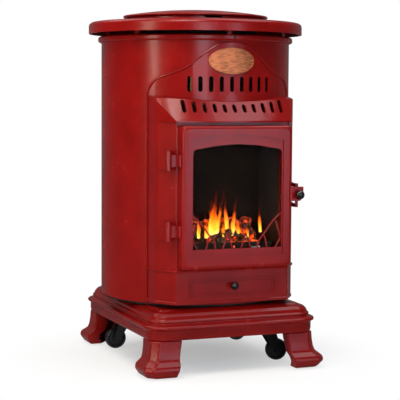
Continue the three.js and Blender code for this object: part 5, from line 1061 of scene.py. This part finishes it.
def make_air(fill):
    """A white background, an even fill, and a faint glow behind the object for what it reflects."""
    world = bpy.data.worlds.new("Studio air")
    bpy.context.scene.world = world
    world.use_nodes = True
    tree = world.node_tree
    tree.nodes.clear()
    heading = result(tree, "ShaderNodeVectorMath", {
        0: add_node(tree, "ShaderNodeTexCoord").outputs["Generated"],
        1: (math.sin(CAMERA_YAW), math.cos(CAMERA_YAW), 0.0)}, operation="DOT_PRODUCT")
    backdrop = spread(tree, heading, 0.0, 0.12, 0.3, 0.9, "SMOOTHSTEP")
    path, looked = looked_at(tree)
    gloss = maths(tree, "MULTIPLY", path["Is Glossy Ray"], backdrop)
    strength = spread(tree, maths(tree, "MAXIMUM", looked, gloss), fill, 1.0)
    air = result(tree, "ShaderNodeBackground", {"Color": (1, 1, 1, 1), "Strength": strength})
    add_node(tree, "ShaderNodeOutputWorld", {"Surface": air})


def make_lamps(studio):
    """Six soft lamps, each at a turn from the front, a rise and a reach off the object's middle."""
    middle = place(0, 0, LIT_HEIGHT)
    for name, azimuth, elevation, reach, (wide, tall), power, tint in (
            ("side_strip", -69, 17, 1.8, (0.13, 1.7), studio.side_power, "#FFF2DC"),
            ("front_soft", -12, 3, 3.0, (0.8, 2.0), studio.front_power * 1.1, "#E4EEFF"),
            ("front_right_soft", 20, 0, 3.2, (0.6, 2.0), studio.front_power * 0.75, "#DCE8FF"),
            ("front_high_soft", -35, 52, 1.9, (0.85, 0.7), studio.top_power, "#FFF6EE"),
            ("rear_high_soft", -140, 55, 2.2, (1.2, 1.2), studio.top_power * 0.5, "#FFFFFF"),
            ("right_high_soft", 75, 68, 2.4, (1.6, 1.6), studio.top_power * 1.3, "#F4F8FF")):
        turn, rise = math.radians(azimuth), math.radians(elevation)
        flat = math.cos(rise)
        way = Vector((math.sin(turn) * flat, -math.cos(turn) * flat, math.sin(rise)))
        data = bpy.data.lights.new(name, "AREA")
        data.shape = "RECTANGLE"
        data.size, data.size_y = wide, tall
        data.energy = power
        data.color = linear(tint)[:3]
        lamp = linked(name, data)
        lamp.location = middle + way * reach
        lamp.rotation_euler = (-way).to_track_quat("-Z", "Y").to_euler()


def make_camera():
    """The photograph's camera, from its place, yaw, pitch, roll and lens."""
    flat = math.cos(CAMERA_PITCH)
    ahead = Vector((
        math.sin(CAMERA_YAW) * flat, math.cos(CAMERA_YAW) * flat, -math.sin(CAMERA_PITCH)))
    level = Vector((math.cos(CAMERA_YAW), -math.sin(CAMERA_YAW), 0))
    upright = level.cross(ahead)
    right = level * math.cos(CAMERA_ROLL) + upright * math.sin(CAMERA_ROLL)
    up = upright * math.cos(CAMERA_ROLL) - level * math.sin(CAMERA_ROLL)
    turn = Matrix((right, up, -ahead)).transposed().to_4x4()
    data = bpy.data.cameras.new("photo_camera")
    data.lens = CAMERA_LENS
    data.sensor_width = CAMERA_SENSOR
    data.clip_start, data.clip_end = CAMERA_CLIP
    camera = linked("photo_camera", data)
    camera.matrix_world = Matrix.Translation(place(*CAMERA_PLACE)) @ turn
    bpy.context.scene.camera = camera


class HEATER_OT_studio(bpy.types.Operator):
    """Pale floor, even background, six soft lamps and the photograph's camera."""
    bl_idname = "heater.studio"
    bl_label = "Studio"

    def execute(self, context):
        studio = context.scene.heater_studio
        make_floor(studio.floor)
        make_air(studio.fill)
        make_lamps(studio)
        make_camera()
        context.scene.view_settings.view_transform = "Standard"
        return {"FINISHED"}


OPERATORS = (
    HEATER_OT_studio, HEATER_OT_plinth, HEATER_OT_drum, HEATER_OT_crest, HEATER_OT_oval_plate,
    HEATER_OT_front, HEATER_OT_hood, HEATER_OT_hinges, HEATER_OT_door, HEATER_OT_fret,
    HEATER_OT_glazing, HEATER_OT_latch, HEATER_OT_firebox, HEATER_OT_coals, HEATER_OT_flames,
    HEATER_OT_gas_fittings, HEATER_OT_hose, HEATER_OT_top, HEATER_OT_controls,
    HEATER_OT_rear_cover, HEATER_OT_castors,
)
SETTINGS = {"heater_finish": HeaterFinish, "heater_fire": HeaterFire, "heater_studio": HeaterStudio}


class HEATER_PT_panel(bpy.types.Panel):
    """Lists the heater's settings and its operators."""
    bl_idname = "HEATER_PT_panel"
    bl_label = "Portable gas heater"
    bl_space_type = "VIEW_3D"
    bl_region_type = "UI"
    bl_category = "Heater"

    def draw(self, context):
        for setting, group in SETTINGS.items():
            box = self.layout.box()
            for name in group.__annotations__:
                box.prop(getattr(context.scene, setting), name)
        for operator in OPERATORS:
            self.layout.operator(operator.bl_idname)


CLASSES = (*SETTINGS.values(), *OPERATORS, HEATER_PT_panel)


def register():
    """Registers the add-on's classes and its settings."""
    for item in CLASSES:
        bpy.utils.register_class(item)
    for name, group in SETTINGS.items():
        setattr(bpy.types.Scene, name, PointerProperty(type=group))


def unregister():
    """Takes the settings and the classes away again."""
    for name in SETTINGS:
        delattr(bpy.types.Scene, name)
    for item in reversed(CLASSES):
        bpy.utils.unregister_class(item)


def main():
    """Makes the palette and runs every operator."""
    register()
    scene = bpy.context.scene
    make_palette(scene.heater_finish, scene.heater_fire)
    for operator in OPERATORS:
        getattr(bpy.ops.heater, operator.bl_idname.split(".")[1])()


if __name__ == "__main__":
    main()
